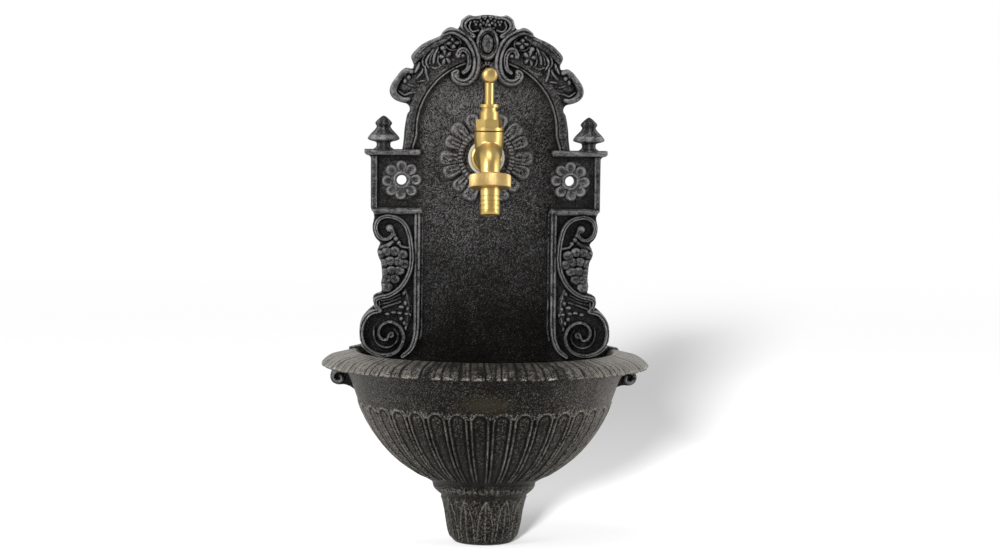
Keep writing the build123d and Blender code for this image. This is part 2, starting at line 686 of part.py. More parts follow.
def spout_tube(radius, past_bend=0.0):
    """A round bar along the spout, carried on straight past the bend if asked."""
    start, bend, end, leave, nose = spout_line()
    path = Line(start, bend) + TangentArc(bend, end, tangent=leave)
    if past_bend:
        path = path + Line(end, end + nose * past_bend)
    return sweep(Plane(origin=start, x_dir=(1, 0, 0), z_dir=leave) * Circle(radius), path=path)


def tap_body():
    bottom_z = TAP_Z - CHAMBER_BOTTOM_H
    side = Spline((0, bottom_z), (0.75 * CHAMBER_R, bottom_z + 0.30 * CHAMBER_BOTTOM_H),
                  (CHAMBER_R, TAP_Z + 2.0), tangents=((1, 0), (0, 1)))
    walls = Polyline((CHAMBER_R, TAP_Z + 2.0), (CHAMBER_R, CHAMBER_TOP_Z), (0, CHAMBER_TOP_Z), (0, bottom_z))
    chamber = Pos(0, SPINDLE_Y, 0) * revolve(Plane.XZ * make_face(side + walls), axis=Axis.Z)
    flange_front = INLET_FLANGE_Y - INLET_FLANGE_T
    body = chamber + rod_y(0, TAP_Z, BARREL_R, INLET_FLANGE_Y, SPINDLE_Y)
    body = body + rod_y(0, TAP_Z, INLET_FLANGE_R, INLET_FLANGE_Y, flange_front)
    body = body + rod_y(0, TAP_Z, INLET_NECK_R, BACKNUT_BACK_Y + 1.0, INLET_FLANGE_Y - 1.0)
    body = body + rod_y(0, TAP_Z, INLET_R, BACKNUT_BACK_Y + INLET_TAIL, BACKNUT_BACK_Y)
    body = body + spout_tube(SPOUT_R) + nose_rod(UNION_R, 0, UNION_THREAD_L)
    body = body - rod_z(CHAMBER_BORE_R, SEAT_Z, CHAMBER_TOP_Z + 1)
    body = body - rod_z(SEAT_BORE_R, TAP_Z, SEAT_Z + 1) - Pos(0, SPINDLE_Y, TAP_Z) * Sphere(SEAT_BORE_R)
    body = body - rod_y(0, TAP_Z, INLET_BORE_R, BACKNUT_BACK_Y + INLET_TAIL + 1, SPINDLE_Y)
    wall_y = SPINDLE_Y - SEAT_BORE_R - 2.4
    ahead = Pos(0, wall_y - 100, 0) * Box(200, 200, 400)
    return body - (spout_tube(SPOUT_BORE_R, UNION_THREAD_L + 1) & ahead)


# Tap: bonnet and gland
def bonnet():
    hexagon = Plane.XY.offset(BONNET_HEX_Z) * RegularPolygon(BONNET_HEX_AF / 2, 6, major_radius=False, rotation=12)
    body = Pos(0, SPINDLE_Y, 0) * extrude(hexagon, amount=BONNET_HEX_H)
    body = body + rod_z(CHAMBER_R - 0.15, BONNET_BOTTOM_Z, BONNET_HEX_Z)
    body = body + rod_z(CHAMBER_BORE_R - RUN_CLEARANCE, SKIRT_BOTTOM_Z, BONNET_BOTTOM_Z)
    body = body + rod_z(BONNET_TOP_R, BONNET_TOP_Z, STUFFING_TOP_Z)
    body = body - rod_z(SPINDLE_THREAD_R + RUN_CLEARANCE, SKIRT_BOTTOM_Z - 1, THREAD_BORE_TOP_Z)
    body = body - rod_z(SPINDLE_BORE_R, THREAD_BORE_TOP_Z - 1, STUFFING_TOP_Z)
    return body - rod_z(GLAND_R + FIT_GAP, STUFFING_Z, STUFFING_TOP_Z + 1)


def bonnet_gasket():
    ring = rod_z(CHAMBER_R - 0.5, CHAMBER_TOP_Z, BONNET_BOTTOM_Z)
    return ring - rod_z(CHAMBER_BORE_R, CHAMBER_TOP_Z - 1, BONNET_BOTTOM_Z + 1)


def gland_packing():
    ring = rod_z(GLAND_R, STUFFING_Z, STUFFING_Z + PACKING_T)
    return ring - rod_z(SPINDLE_BORE_R, STUFFING_Z - 1, STUFFING_TOP_Z)


def gland_nut():
    cap_top = GLAND_CAP_Z + GLAND_CAP_H
    body = rod_z(GLAND_R, STUFFING_Z + PACKING_T, GLAND_CAP_Z) + rod_z(GLAND_CAP_R, GLAND_CAP_Z, cap_top)
    return body - rod_z(SPINDLE_BORE_R, STUFFING_Z, cap_top + 1)


# Tap: spindle and handle
def spindle():
    foot_z = DISC_TOP_Z + UNION_FACE_GAP
    body = rod_z(SPINDLE_R, THREAD_TOP_Z - 1, BAR_Z) + rod_z(SPINDLE_THREAD_R, THREAD_BOTTOM_Z, THREAD_TOP_Z)
    body = body + rod_z(SPINDLE_R, foot_z, THREAD_BOTTOM_Z + 1) + Pos(0, SPINDLE_Y, BAR_Z) * Sphere(SPINDLE_HEAD_R)
    body = body - rod_z(JUMPER_STEM_R + RUN_CLEARANCE, foot_z - 1, DISC_TOP_Z + JUMPER_STEM_H + 0.6)
    return body - rod_y(0, BAR_Z, BAR_R + FIT_GAP, SPINDLE_Y + 20, SPINDLE_Y - 20)


def handle_bar():
    return rod_y(0, BAR_Z, BAR_R, SPINDLE_Y + BAR_HALF, SPINDLE_Y - BAR_HALF)


def handle_ball(way):
    """A ball end: way is -1 for the front one and +1 for the rear one."""
    center_y = SPINDLE_Y + way * BAR_HALF
    flat_y = (BALL_R ** 2 - BALL_FLAT_R ** 2) ** 0.5
    keep = Pos(0, center_y + way * (flat_y - 20), BAR_Z) * Box(40, 40, 40)
    ball = (Pos(0, center_y, BAR_Z) * Sphere(BALL_R)) & keep
    return ball - rod_y(0, BAR_Z, BAR_R + FIT_GAP, center_y, center_y - way * 20)


# Tap: jumper valve, shut at rest
def jumper():
    body = rod_z(JUMPER_R, SEAT_Z + JUMPER_WASHER_T, DISC_TOP_Z)
    body = body + rod_z(JUMPER_STEM_R, DISC_TOP_Z - 1, DISC_TOP_Z + JUMPER_STEM_H)
    return body + rod_z(JUMPER_SPIGOT_R, SEAT_Z - JUMPER_NUT_T, DISC_TOP_Z - 1)


def jumper_washer():
    ring = rod_z(JUMPER_R, SEAT_Z, SEAT_Z + JUMPER_WASHER_T)
    return ring - rod_z(JUMPER_SPIGOT_R + FIT_GAP, SEAT_Z - 1, SEAT_Z + JUMPER_WASHER_T + 1)


def jumper_nut():
    hexagon = Plane.XY.offset(SEAT_Z - JUMPER_NUT_T) * RegularPolygon(JUMPER_NUT_R, 6)
    blank = Pos(0, SPINDLE_Y, 0) * extrude(hexagon, amount=JUMPER_NUT_T)
    return blank - rod_z(JUMPER_SPIGOT_R + FIT_GAP, SEAT_Z - JUMPER_NUT_T - 1, SEAT_Z + 1)


# Tap: hose union
WASHER_S = UNION_THREAD_L
TAIL_S = WASHER_S + UNION_WASHER_T
LIP_S = TAIL_S + TAIL_FLANGE_T + UNION_FACE_GAP
NUT_END_S = LIP_S + UNION_LIP_T


def union_washer():
    return nose_rod(TAIL_FLANGE_R, WASHER_S, TAIL_S) - nose_rod(TAIL_BORE_R, WASHER_S - 1, TAIL_S + 1)


def union_nut():
    blank = nose_rod(UNION_NUT_R, 0.3, NUT_END_S)
    blank = chamfer(blank.edges(), 0.9)
    blank = blank - nose_rod(UNION_R + THREAD_CLEARANCE, -1, LIP_S)
    return blank - nose_rod(TAIL_R + UNION_LIP_GAP, LIP_S - 1, NUT_END_S + 1)


def hose_tail():
    neck_r = TAIL_R - TAIL_STEP
    hose_stop = NUT_END_S + 0.6
    corners = [(TAIL_BORE_R, TAIL_S), (TAIL_FLANGE_R, TAIL_S), (TAIL_FLANGE_R, TAIL_S + TAIL_FLANGE_T),
               (neck_r, TAIL_S + TAIL_FLANGE_T), (neck_r, hose_stop), (TAIL_R, hose_stop),
               (TAIL_R, hose_stop + TAIL_PLAIN_L), (TAIL_ROOT_R, hose_stop + TAIL_PLAIN_L + BARB_SLOPE)]
    for barb in range(TAIL_BARBS):
        top = hose_stop + TAIL_PLAIN_L + BARB_SLOPE + barb * (BARB_LAND + BARB_SLOPE)
        corners += [(TAIL_R, top), (TAIL_R, top + BARB_LAND), (TAIL_ROOT_R, top + BARB_LAND + BARB_SLOPE)]
    corners.append((TAIL_BORE_R, corners[-1][1]))
    section = make_face(Polyline(*corners, close=True))
    return NOSE_PLANE * revolve(Plane.XZ * section, axis=Axis.Z)


NODES = {
    "back_plate": back_plate(),
    "bowl": bowl(),
    "bowl_bolts": bolt_set(bowl_bolt),
    "bowl_seal_washers": bolt_set(bowl_seal_washer),
    "bowl_head_washers": bolt_set(bowl_head_washer),
    "bowl_nut_washers": bolt_set(bowl_nut_washer),
    "bowl_nuts": bolt_set(bowl_nut),
    "tap_body": tap_body(),
    "tap_wall_washer": tap_wall_washer(),
    "backnut_washer": backnut_washer(),
    "backnut": backnut(),
    "bonnet": bonnet(),
    "bonnet_gasket": bonnet_gasket(),
    "gland_packing": gland_packing(),
    "gland_nut": gland_nut(),
    "spindle": spindle(),
    "handle_bar": handle_bar(),
    "handle_ball_front": handle_ball(-1),
    "handle_ball_rear": handle_ball(1),
    "jumper": jumper(),
    "jumper_washer": jumper_washer(),
    "jumper_nut": jumper_nut(),
    "union_washer": union_washer(),
    "union_nut": union_nut(),
    "hose_tail": hose_tail(),
}

os.makedirs("parts", exist_ok=True)
for name, solid in NODES.items():
    export_step(solid, f"parts/{name}.step")
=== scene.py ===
# %% [markdown]
# A cast iron wall fountain with a brass hose tap. The CAD model gives the frame: every body,
# every size and every joint. This lesson dresses it. The two iron castings get their ornament
# and their rubbed black finish, and the tap gets its polished brass.

# %% Load the frame
import math

import bmesh
import bpy
import numpy as np
from mathutils import Matrix, Vector


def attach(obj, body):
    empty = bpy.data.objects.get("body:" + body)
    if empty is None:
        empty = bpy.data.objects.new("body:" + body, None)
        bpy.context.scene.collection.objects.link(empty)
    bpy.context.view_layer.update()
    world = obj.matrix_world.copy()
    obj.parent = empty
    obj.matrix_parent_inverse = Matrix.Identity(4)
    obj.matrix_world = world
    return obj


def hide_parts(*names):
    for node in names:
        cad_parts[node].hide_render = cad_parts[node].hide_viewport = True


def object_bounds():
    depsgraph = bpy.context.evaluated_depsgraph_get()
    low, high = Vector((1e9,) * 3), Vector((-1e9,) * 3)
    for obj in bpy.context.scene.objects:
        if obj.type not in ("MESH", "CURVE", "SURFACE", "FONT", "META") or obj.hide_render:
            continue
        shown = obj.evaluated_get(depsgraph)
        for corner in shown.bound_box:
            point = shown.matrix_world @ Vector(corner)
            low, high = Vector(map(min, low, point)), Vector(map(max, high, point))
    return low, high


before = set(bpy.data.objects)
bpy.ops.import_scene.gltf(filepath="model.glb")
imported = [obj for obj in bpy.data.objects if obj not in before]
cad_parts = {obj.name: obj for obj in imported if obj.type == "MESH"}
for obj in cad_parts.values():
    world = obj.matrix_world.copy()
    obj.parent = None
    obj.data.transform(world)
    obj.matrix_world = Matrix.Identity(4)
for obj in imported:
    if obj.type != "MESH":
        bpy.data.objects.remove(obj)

CAD_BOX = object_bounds()
MM = 0.001
scene = bpy.context.scene
print("CAD box in mm:", [[round(v / MM, 1) for v in corner] for corner in CAD_BOX])

# %% [markdown]
# The photograph was taken with a long lens from the front, a little to the left and a little
# above the tap, and the fountain leans by about half a degree in the picture. The camera is
# worked out from that: a point on the plate for the middle of the picture, a place and a roll.

# %% Camera
PICTURE_W = 1000
FOCAL_PIXELS = 2625
SENSOR_MM = 36
CAMERA_AT = Vector((-110, -2113, 64)) * MM
AIM_AT = Vector((12.0, -13, -75.2)) * MM
ROLL = math.radians(0.59)


def aimed(name, data, place, aim):
    """Puts a camera or a lamp at a place, facing a point."""
    holder = bpy.data.objects.new(name, data)
    scene.collection.objects.link(holder)
    holder.location = place
    holder.rotation_euler = (Vector(aim) - Vector(place)).to_track_quat("-Z", "Y").to_euler()
    return holder


camera_data = bpy.data.cameras.new("camera")
camera_data.sensor_width = SENSOR_MM
camera_data.lens = FOCAL_PIXELS * SENSOR_MM / PICTURE_W
camera_data.clip_start = 0.05
camera_data.clip_end = 50
scene.camera = aimed("camera", camera_data, CAMERA_AT, AIM_AT)
scene.camera.rotation_euler.rotate_axis("Z", ROLL)
print("lens", round(camera_data.lens, 2), "mm")

# %% [markdown]
# Shader maths reads best as plain arithmetic, so one small class wraps a node socket. Adding
# or multiplying two of them makes the Math node, and its node method makes any other node.

# %% Wires
class Wire:
    """A socket of a finish that takes part in arithmetic."""

    def __init__(self, tree, socket=None):
        self.tree = tree
        self.socket = socket

    def feed(self, made, sockets):
        """Links wires to a node's sockets, and sets plain values on them."""
        for key, value in sockets.items():
            if isinstance(value, Wire):
                self.tree.links.new(value.socket, made.inputs[key])
            else:
                made.inputs[key].default_value = value

    def node(self, kind, settings=None, sockets=None, out=0):
        """Any node: its settings first, then its sockets."""
        made = self.tree.nodes.new("ShaderNode" + kind)
        for key, value in (settings or {}).items():
            setattr(made, key, value)
        self.feed(made, sockets or {})
        return Wire(self.tree, made.outputs[out])

    def math(self, operation, first, second):
        return self.node("Math", {"operation": operation}, {0: first, 1: second})

    def __add__(self, other):
        return self.math("ADD", self, other)

    def __radd__(self, other):
        return self.math("ADD", other, self)

    def __sub__(self, other):
        return self.math("SUBTRACT", self, other)

    def __rsub__(self, other):
        return self.math("SUBTRACT", other, self)

    def __mul__(self, other):
        return self.math("MULTIPLY", self, other)

    def __rmul__(self, other):
        return self.math("MULTIPLY", other, self)

    def __abs__(self):
        return self.node("Math", {"operation": "ABSOLUTE"}, {0: self})

    def at_least(self, other):
        return self.math("MAXIMUM", self, other)

    def between(self, low, high):
        """0 below low, 1 above high, smooth between."""
        settings = {"interpolation_type": "SMOOTHSTEP"}
        return self.node("MapRange", settings, {"Value": self, "From Min": low, "From Max": high})

    def part(self, axis):
        return self.node("SeparateXYZ", None, {0: self}, out=axis)

    def vector(self, operation, other):
        return self.node("VectorMath", {"operation": operation}, {0: self, 1: other})

    def length(self):
        return self.node("VectorMath", {"operation": "LENGTH"}, {0: self}, out="Value")

    def away_from(self, centre, scale):
        """Distance to a centre, with each axis scaled."""
        return self.vector("SUBTRACT", centre).vector("MULTIPLY", scale).length()

    def noise(self, scale, detail, roughness=0.5):
        sockets = {"Vector": self, "Scale": scale, "Detail": detail, "Roughness": roughness}
        return self.node("TexNoise", None, sockets)

    def bump(self, strength, distance):
        return self.node("Bump", None, {"Height": self, "Strength": strength, "Distance": distance})


print("wires ready")

# %% [markdown]
# Every finish starts as an empty material. Finishes are kept by name, which is also the name of
# the slot that they fill.

# %% Finish tools
FINISH_OF = {}


def colour_mix(mask, first, second):
    """The first colour where the mask is 0 and the second where it is 1."""
    settings = {"data_type": "RGBA", "clamp_factor": True}
    return mask.node("Mix", settings, {0: mask, 6: first, 7: second}, out=2)


def new_finish(name):
    """Makes an empty material and gives its start wire, its main shader and its coordinates."""
    material = bpy.data.materials.new(name)
    material.use_nodes = True
    FINISH_OF[name] = material
    start = Wire(material.node_tree)
    place = start.node("TexCoord", out="Object")
    return start, start.tree.nodes["Principled BSDF"], place


print("finish tools ready")

# %% [markdown]
# The stage is a pale floor under the foot. The world is white behind and beside the fountain, as
# in a white studio, and dimmer in front and above. A low sun that lights only the floor throws
# the long soft shadow to the right, and far away the floor fades into the white.

# %% Floor and world
FLOOR_Z = CAD_BOX[0][2]
FLOOR_HALF = 12.0
FADE_FROM = 0.9
FADE_TO = 3.4
WHITE = (1, 1, 1, 1)
FLOOR_SEEN = (0.84, 0.84, 0.84, 1)
FLOOR_LIT = (0.46, 0.46, 0.46, 1)

floor_mesh = bpy.data.meshes.new("floor")
bm = bmesh.new()
bmesh.ops.create_grid(bm, x_segments=1, y_segments=1, size=FLOOR_HALF)
bmesh.ops.translate(bm, verts=bm.verts, vec=(0, 0, FLOOR_Z))
bm.to_mesh(floor_mesh)
bm.free()
floor = bpy.data.objects.new("floor", floor_mesh)
scene.collection.objects.link(floor)

start, shader, place = new_finish("floor_paint")
start.feed(shader, {"Base Color": FLOOR_LIT, "Roughness": 0.95, "Specular IOR Level": 0.0})
pale = start.node("BsdfDiffuse", None, {"Color": FLOOR_SEEN})
glow = start.node("Emission", None, {"Color": WHITE, "Strength": 1.0})
faded = place.length().between(FADE_FROM, FADE_TO)
seen_floor = start.node("MixShader", None, {0: faded, 1: pale, 2: glow})
seen = start.node("LightPath", out="Is Camera Ray")
lit_floor = Wire(start.tree, shader.outputs[0])
mixed = start.node("MixShader", None, {0: seen, 1: lit_floor, 2: seen_floor})
start.feed(start.tree.nodes["Material Output"], {"Surface": mixed})
floor_mesh.materials.append(FINISH_OF["floor_paint"])

world = bpy.data.worlds.new("studio")
world.use_nodes = True
scene.world = world
air = Wire(world.node_tree)
direction = air.node("TexCoord", out="Generated")
behind = direction.part("Y").between(-0.9, 0.5) * 0.64 + 0.36
overhead = 1 - direction.part("Z").between(0.25, 0.8) * 0.55
level = (behind * overhead).at_least(air.node("LightPath", out="Is Camera Ray"))
air.feed(world.node_tree.nodes["Background"], {"Color": WHITE, "Strength": level})
print("floor at", round(FLOOR_Z / MM, 1), "mm")

# %% [markdown]
# Three soft boxes light the iron and the brass from the left, the right and above. The sun for
# the shadow is linked to the floor alone, so it adds no light to the fountain.

# %% Lamps
SHADOW_SUN = Vector((0.21, 0.97, -0.172))
SUN_STRENGTH = 11.5
SUN_ANGLE = math.radians(6)
SOFT_BOXES = [
    ("left_box", (-1.25, -1.0, 0.75), (0, -0.05, -0.08), 0.55, 1.1, 16),
    ("right_box", (1.5, -0.55, 0.35), (0, -0.05, -0.1), 0.4, 1.0, 8),
    ("top_box", (-0.2, -0.5, 1.6), (0, -0.05, -0.05), 1.0, 0.6, 6)]

for name, box_at, aim, wide, high, watts in SOFT_BOXES:
    lamp = bpy.data.lights.new(name, "AREA")
    lamp.shape = "RECTANGLE"
    lamp.size = wide
    lamp.size_y = high
    lamp.energy = watts
    aimed(name, lamp, box_at, aim)

sun = bpy.data.lights.new("shadow_sun", "SUN")
sun.energy = SUN_STRENGTH
sun.angle = SUN_ANGLE
sun_holder = aimed("shadow_sun", sun, SHADOW_SUN * -3, (0, 0, 0))
only_floor = bpy.data.collections.new("only_floor")
only_floor.objects.link(floor)
sun_holder.light_linking.receiver_collection = only_floor
print(len(SOFT_BOXES), "soft boxes and a sun for the shadow")

# %% [markdown]
# The castings were painted black, then rubbed with a grey metal wax that stays on raised edges
# and on the sandy grain, whose speckle also stands for painted glints of the glossy paint. Each
# iron piece carries two numbers per vertex: wear, high on edges, and hollow, high in corners,
# which darkens them as black paint left there and as painted shade. The plate was also brushed
# slantwise, and left of the tap it carries a painted highlight.

# %% Iron finishes
GRAIN_PER_M = 1300
FLECK_PER_M = 640
PATCH_PER_M = 170
CLOUD_PER_M = 34
SLANT = 0.85
STROKE_PER_M = (260, 600, 1000)


def iron_finish(name, black, rubbed_and_lit, level, gloss, shine, extras=None):
    """Black iron rubbed with graphite: level gives the rub on plain ground, painted light included, and the
    strength of the speckle, which is sandy grain and painted glints.
    """
    start, shader, place = new_finish(name)
    grain = place.noise(GRAIN_PER_M, 2.0)
    fleck = place.noise(FLECK_PER_M, 3.0, 0.65)
    patch = place.noise(PATCH_PER_M, 3.0)
    cloud = place.noise(CLOUD_PER_M, 4.0)
    turned = start.node("Mapping", None, {"Vector": place, "Rotation": (0, SLANT, 0)})
    stroke = start.node("Mapping", None, {"Vector": turned, "Scale": STROKE_PER_M}).noise(1.0, 2.0)
    wear = start.node("Attribute", {"attribute_name": "wear"}, out="Fac")
    hollow_paint_and_shade = start.node("Attribute", {"attribute_name": "hollow_paint_and_shade"}, out="Fac")
    plain, fine_noise = level(start, place)
    ground = plain + (cloud - 0.5) * 0.25
    ground = ground + wear * (0.95 + (patch - 0.5) * 3.0)
    # The speckle is the sandy grain, and it also paints glints of the glossy paint, most on the bowl's
    # front.
    grain_and_glints = ((fleck - 0.5) * 1.3 + (stroke - 0.5) * 0.6 + (grain - 0.5) * 2.2) * fine_noise
    # Paleness holds the wax rub and the painted light of the level and the speckle; hollows darken it, as
    # black paint left there and as painted shade.
    paleness = (ground + grain_and_glints * (0.42 + ground * 1.2)).between(0.0, 1.0) * (1 - hollow_paint_and_shade * 0.55)
    base = colour_mix(paleness * paleness, black, rubbed_and_lit)
    if extras:
        base = extras(place, base, wear * (patch - 0.12))
    relief = grain * 0.7 + fleck * 0.9 + stroke * 0.3
    start.feed(shader, {
        "Base Color": base, "Roughness": gloss - wear * 0.2 + (grain - 0.5) * 0.2,
        "Normal": relief.bump(0.8, 0.0008), "Metallic": 0.75 - paleness * 0.4, "Specular IOR Level": shine})


print("the iron's grain is", round(1 / GRAIN_PER_M / MM, 2), "mm wide")

# %% [markdown]
# In the arch the plate has a painted highlight left of the tap and grows lighter upwards, partly
# dust and partly painted top light; it is rubbed more on the rosette and on the two flowers round
# the screw holes. The bowl is browner. It is dark and sandy in front, the speckle partly painted
# glints, and paler and smoother at its sides with a painted sheen, most on the right; the foot is
# a little paler. There is a brown stain under the rim and chips of bare metal along the edge.

# %% Plate iron and bowl iron
ARCH_Z = 40.0
SCREW_X = 67.5
TAP_Z = 18.5
HIGHLIGHT_AT = (-0.022, 0.0, 0.038)
HIGHLIGHT_SIZE = (14.0, 0.0, 8.0)
STAIN_AT = (-0.0036, -0.126, -0.1677)
STAIN_SIZE = (46.0, 20.0, 130.0)
STAIN_TONE = (0.062, 0.050, 0.030, 1)
CHIP_TONE = (0.62, 0.60, 0.56, 1)
PLATE_BLACK = (0.0062, 0.0054, 0.0044, 1)
# The pale colours are the grey wax, and they also serve for the painted highlight, sheen and glints.
PLATE_RUBBED_AND_LIT = (0.300, 0.296, 0.302, 1)
BOWL_BLACK = (0.0070, 0.0060, 0.0042, 1)
BOWL_RUBBED_AND_LIT = (0.266, 0.250, 0.218, 1)


def plate_level(start, place):
    """Rub, painted highlight and painted top light of the plate, and the strength of its speckle; the zones
    stay on its front.
    """
    across = place.part("X")
    height = place.part("Z")
    over = (height - ARCH_Z * MM).at_least(0.0)
    field = 1 - start.node("CombineXYZ", None, {"X": across, "Z": over}).length().between(0.049, 0.057)
    # Painted highlight: the field is lighter left of the tap.
    painted_highlight = 1 - place.away_from(HIGHLIGHT_AT, HIGHLIGHT_SIZE).between(0.15, 1.5)
    # Painted top light, partly dust: the field grows lighter upwards.
    high = height.between(-0.15, -0.02) * 0.14 + height.between(0.02, 0.09) * 0.08
    from_screw = start.node("CombineXYZ", None, {"X": abs(across) - SCREW_X * MM, "Z": height})
    flower = 1 - from_screw.length().between(0.015, 0.017)
    from_tap = place.away_from((0, 0, TAP_Z * MM), (1, 0, 1))
    ring = from_tap.between(0.018, 0.020) * (1 - from_tap.between(0.036, 0.039))
    front = 1 - place.part("Y").between(-0.012, -0.010)
    zones = field * (painted_highlight * 0.16 + high - 0.17) + flower * 0.20 + ring * 0.08
    return front * zones + 0.34, field * 0.42 + 0.53


def bowl_level(start, place):
    """Rub of the bowl with a painted sheen on its sides, most on the right, a paler foot, and the strength
    of its speckle.
    """
    across = place.part("X")
    # Painted sheen: the bowl is paler towards both sides.
    side = abs(across).between(0.02, 0.12)
    foot = 1 - place.part("Z").between(-0.252, -0.244)
    # The sides get the painted sheen, the right side a little more of it; the foot is a little paler; the
    # speckle is weaker at the sides.
    return side * 0.31 + across.between(0.02, 0.1) * 0.10 + foot * 0.08 + 0.215, 1.4 - side * 0.9


def stain_and_chips(place, base, bare):
    """Puts the stain and the chips over a base colour."""
    stain = 1 - place.away_from(STAIN_AT, STAIN_SIZE).between(0.2, 1.4)
    return colour_mix(bare.between(0.36, 0.50), colour_mix(stain * 0.65, base, STAIN_TONE), CHIP_TONE)


iron_finish("plate_iron", PLATE_BLACK, PLATE_RUBBED_AND_LIT, plate_level, 0.46, 0.26)
iron_finish("bowl_iron", BOWL_BLACK, BOWL_RUBBED_AND_LIT, bowl_level, 0.42, 0.36, stain_and_chips)
print("finishes so far:", *FINISH_OF)

# %% [markdown]
# The ornament is modelled as a sculptor works a clay sheet: a grid of points is lifted along
# curves. These helpers give a smooth path through a few points and tell, for many points at
# once, how far they are from a path and how far along it.

# %% Paths
def smooth_path(points, per_span=8):
    """A rounded path through given points."""
    p = np.array(points, float)
    ends = np.vstack([2 * p[0] - p[1], p, 2 * p[-1] - p[-2]])
    t = np.linspace(0, 1, per_span, endpoint=False)[:, None]
    spans = []
    for a, b, c, d in zip(ends[:-3], ends[1:-2], ends[2:-1], ends[3:]):
        bend = (2 * a - 5 * b + 4 * c - d) * t ** 2 + (3 * b - a - 3 * c + d) * t ** 3
        spans.append(0.5 * (2 * b + (c - a) * t + bend))
    return np.vstack(spans + [p[-1:]])


def along_path(path, x, z):
    """Distance to a path and share of the way along it."""
    best = np.full(len(x), 1e12)
    share = np.zeros(len(x))
    steps = np.hypot(*np.diff(path, axis=0).T)
    begins = np.concatenate([[0], np.cumsum(steps)])
    for a, b, length, begin in zip(path[:-1], path[1:], steps, begins):
        if length < 1e-9:
            continue
        dx, dz = (b - a) / length
        s = np.clip((x - a[0]) * dx + (z - a[1]) * dz, 0, length)
        ex = x - a[0] - s * dx
        ez = z - a[1] - s * dz
        far = ex * ex + ez * ez
        near = far < best
        best[near] = far[near]
        share[near] = (begin + s[near]) / begins[-1]
    return np.sqrt(best), share


def outside_by(loop, x, z):
    """How far points lie outside a closed loop, negative inside it."""
    closed = np.vstack([loop, loop[:1]])
    far = along_path(closed, x, z)[0]
    inside = np.zeros(len(x), bool)
    for a, b in zip(closed[:-1], closed[1:]):
        if a[1] == b[1]:
            continue
        crosses = (a[1] > z) != (b[1] > z)
        reach = a[0] + (z - a[1]) * (b[0] - a[0]) / (b[1] - a[1])
        inside ^= crosses & (x < reach)
    return np.where(inside, -far, far)


def soft_step(value, low, high):
    """0 below low, 1 above high, smooth between."""
    t = np.clip((value - low) / (high - low), 0, 1)
    return t * t * (3 - 2 * t)


def bar(value, low, high, soft):
    """1 between low and high, falling to 0 over a soft edge inside them."""
    return soft_step(value, low, low + soft) * soft_step(-value, -high, -high + soft)


print("path of 3 points has", len(smooth_path([(0, 0), (1, 1), (2, 0)])), "samples")

# %% [markdown]
# Relief holds the heights over the plate's flat field in millimetres. Ribbons are scrolls and
# mouldings, leaves carry fine lines along them, domes are grapes and beads, and rosettes are
# rings of cupped petals. Each lifts the surface where it is higher than what is there.

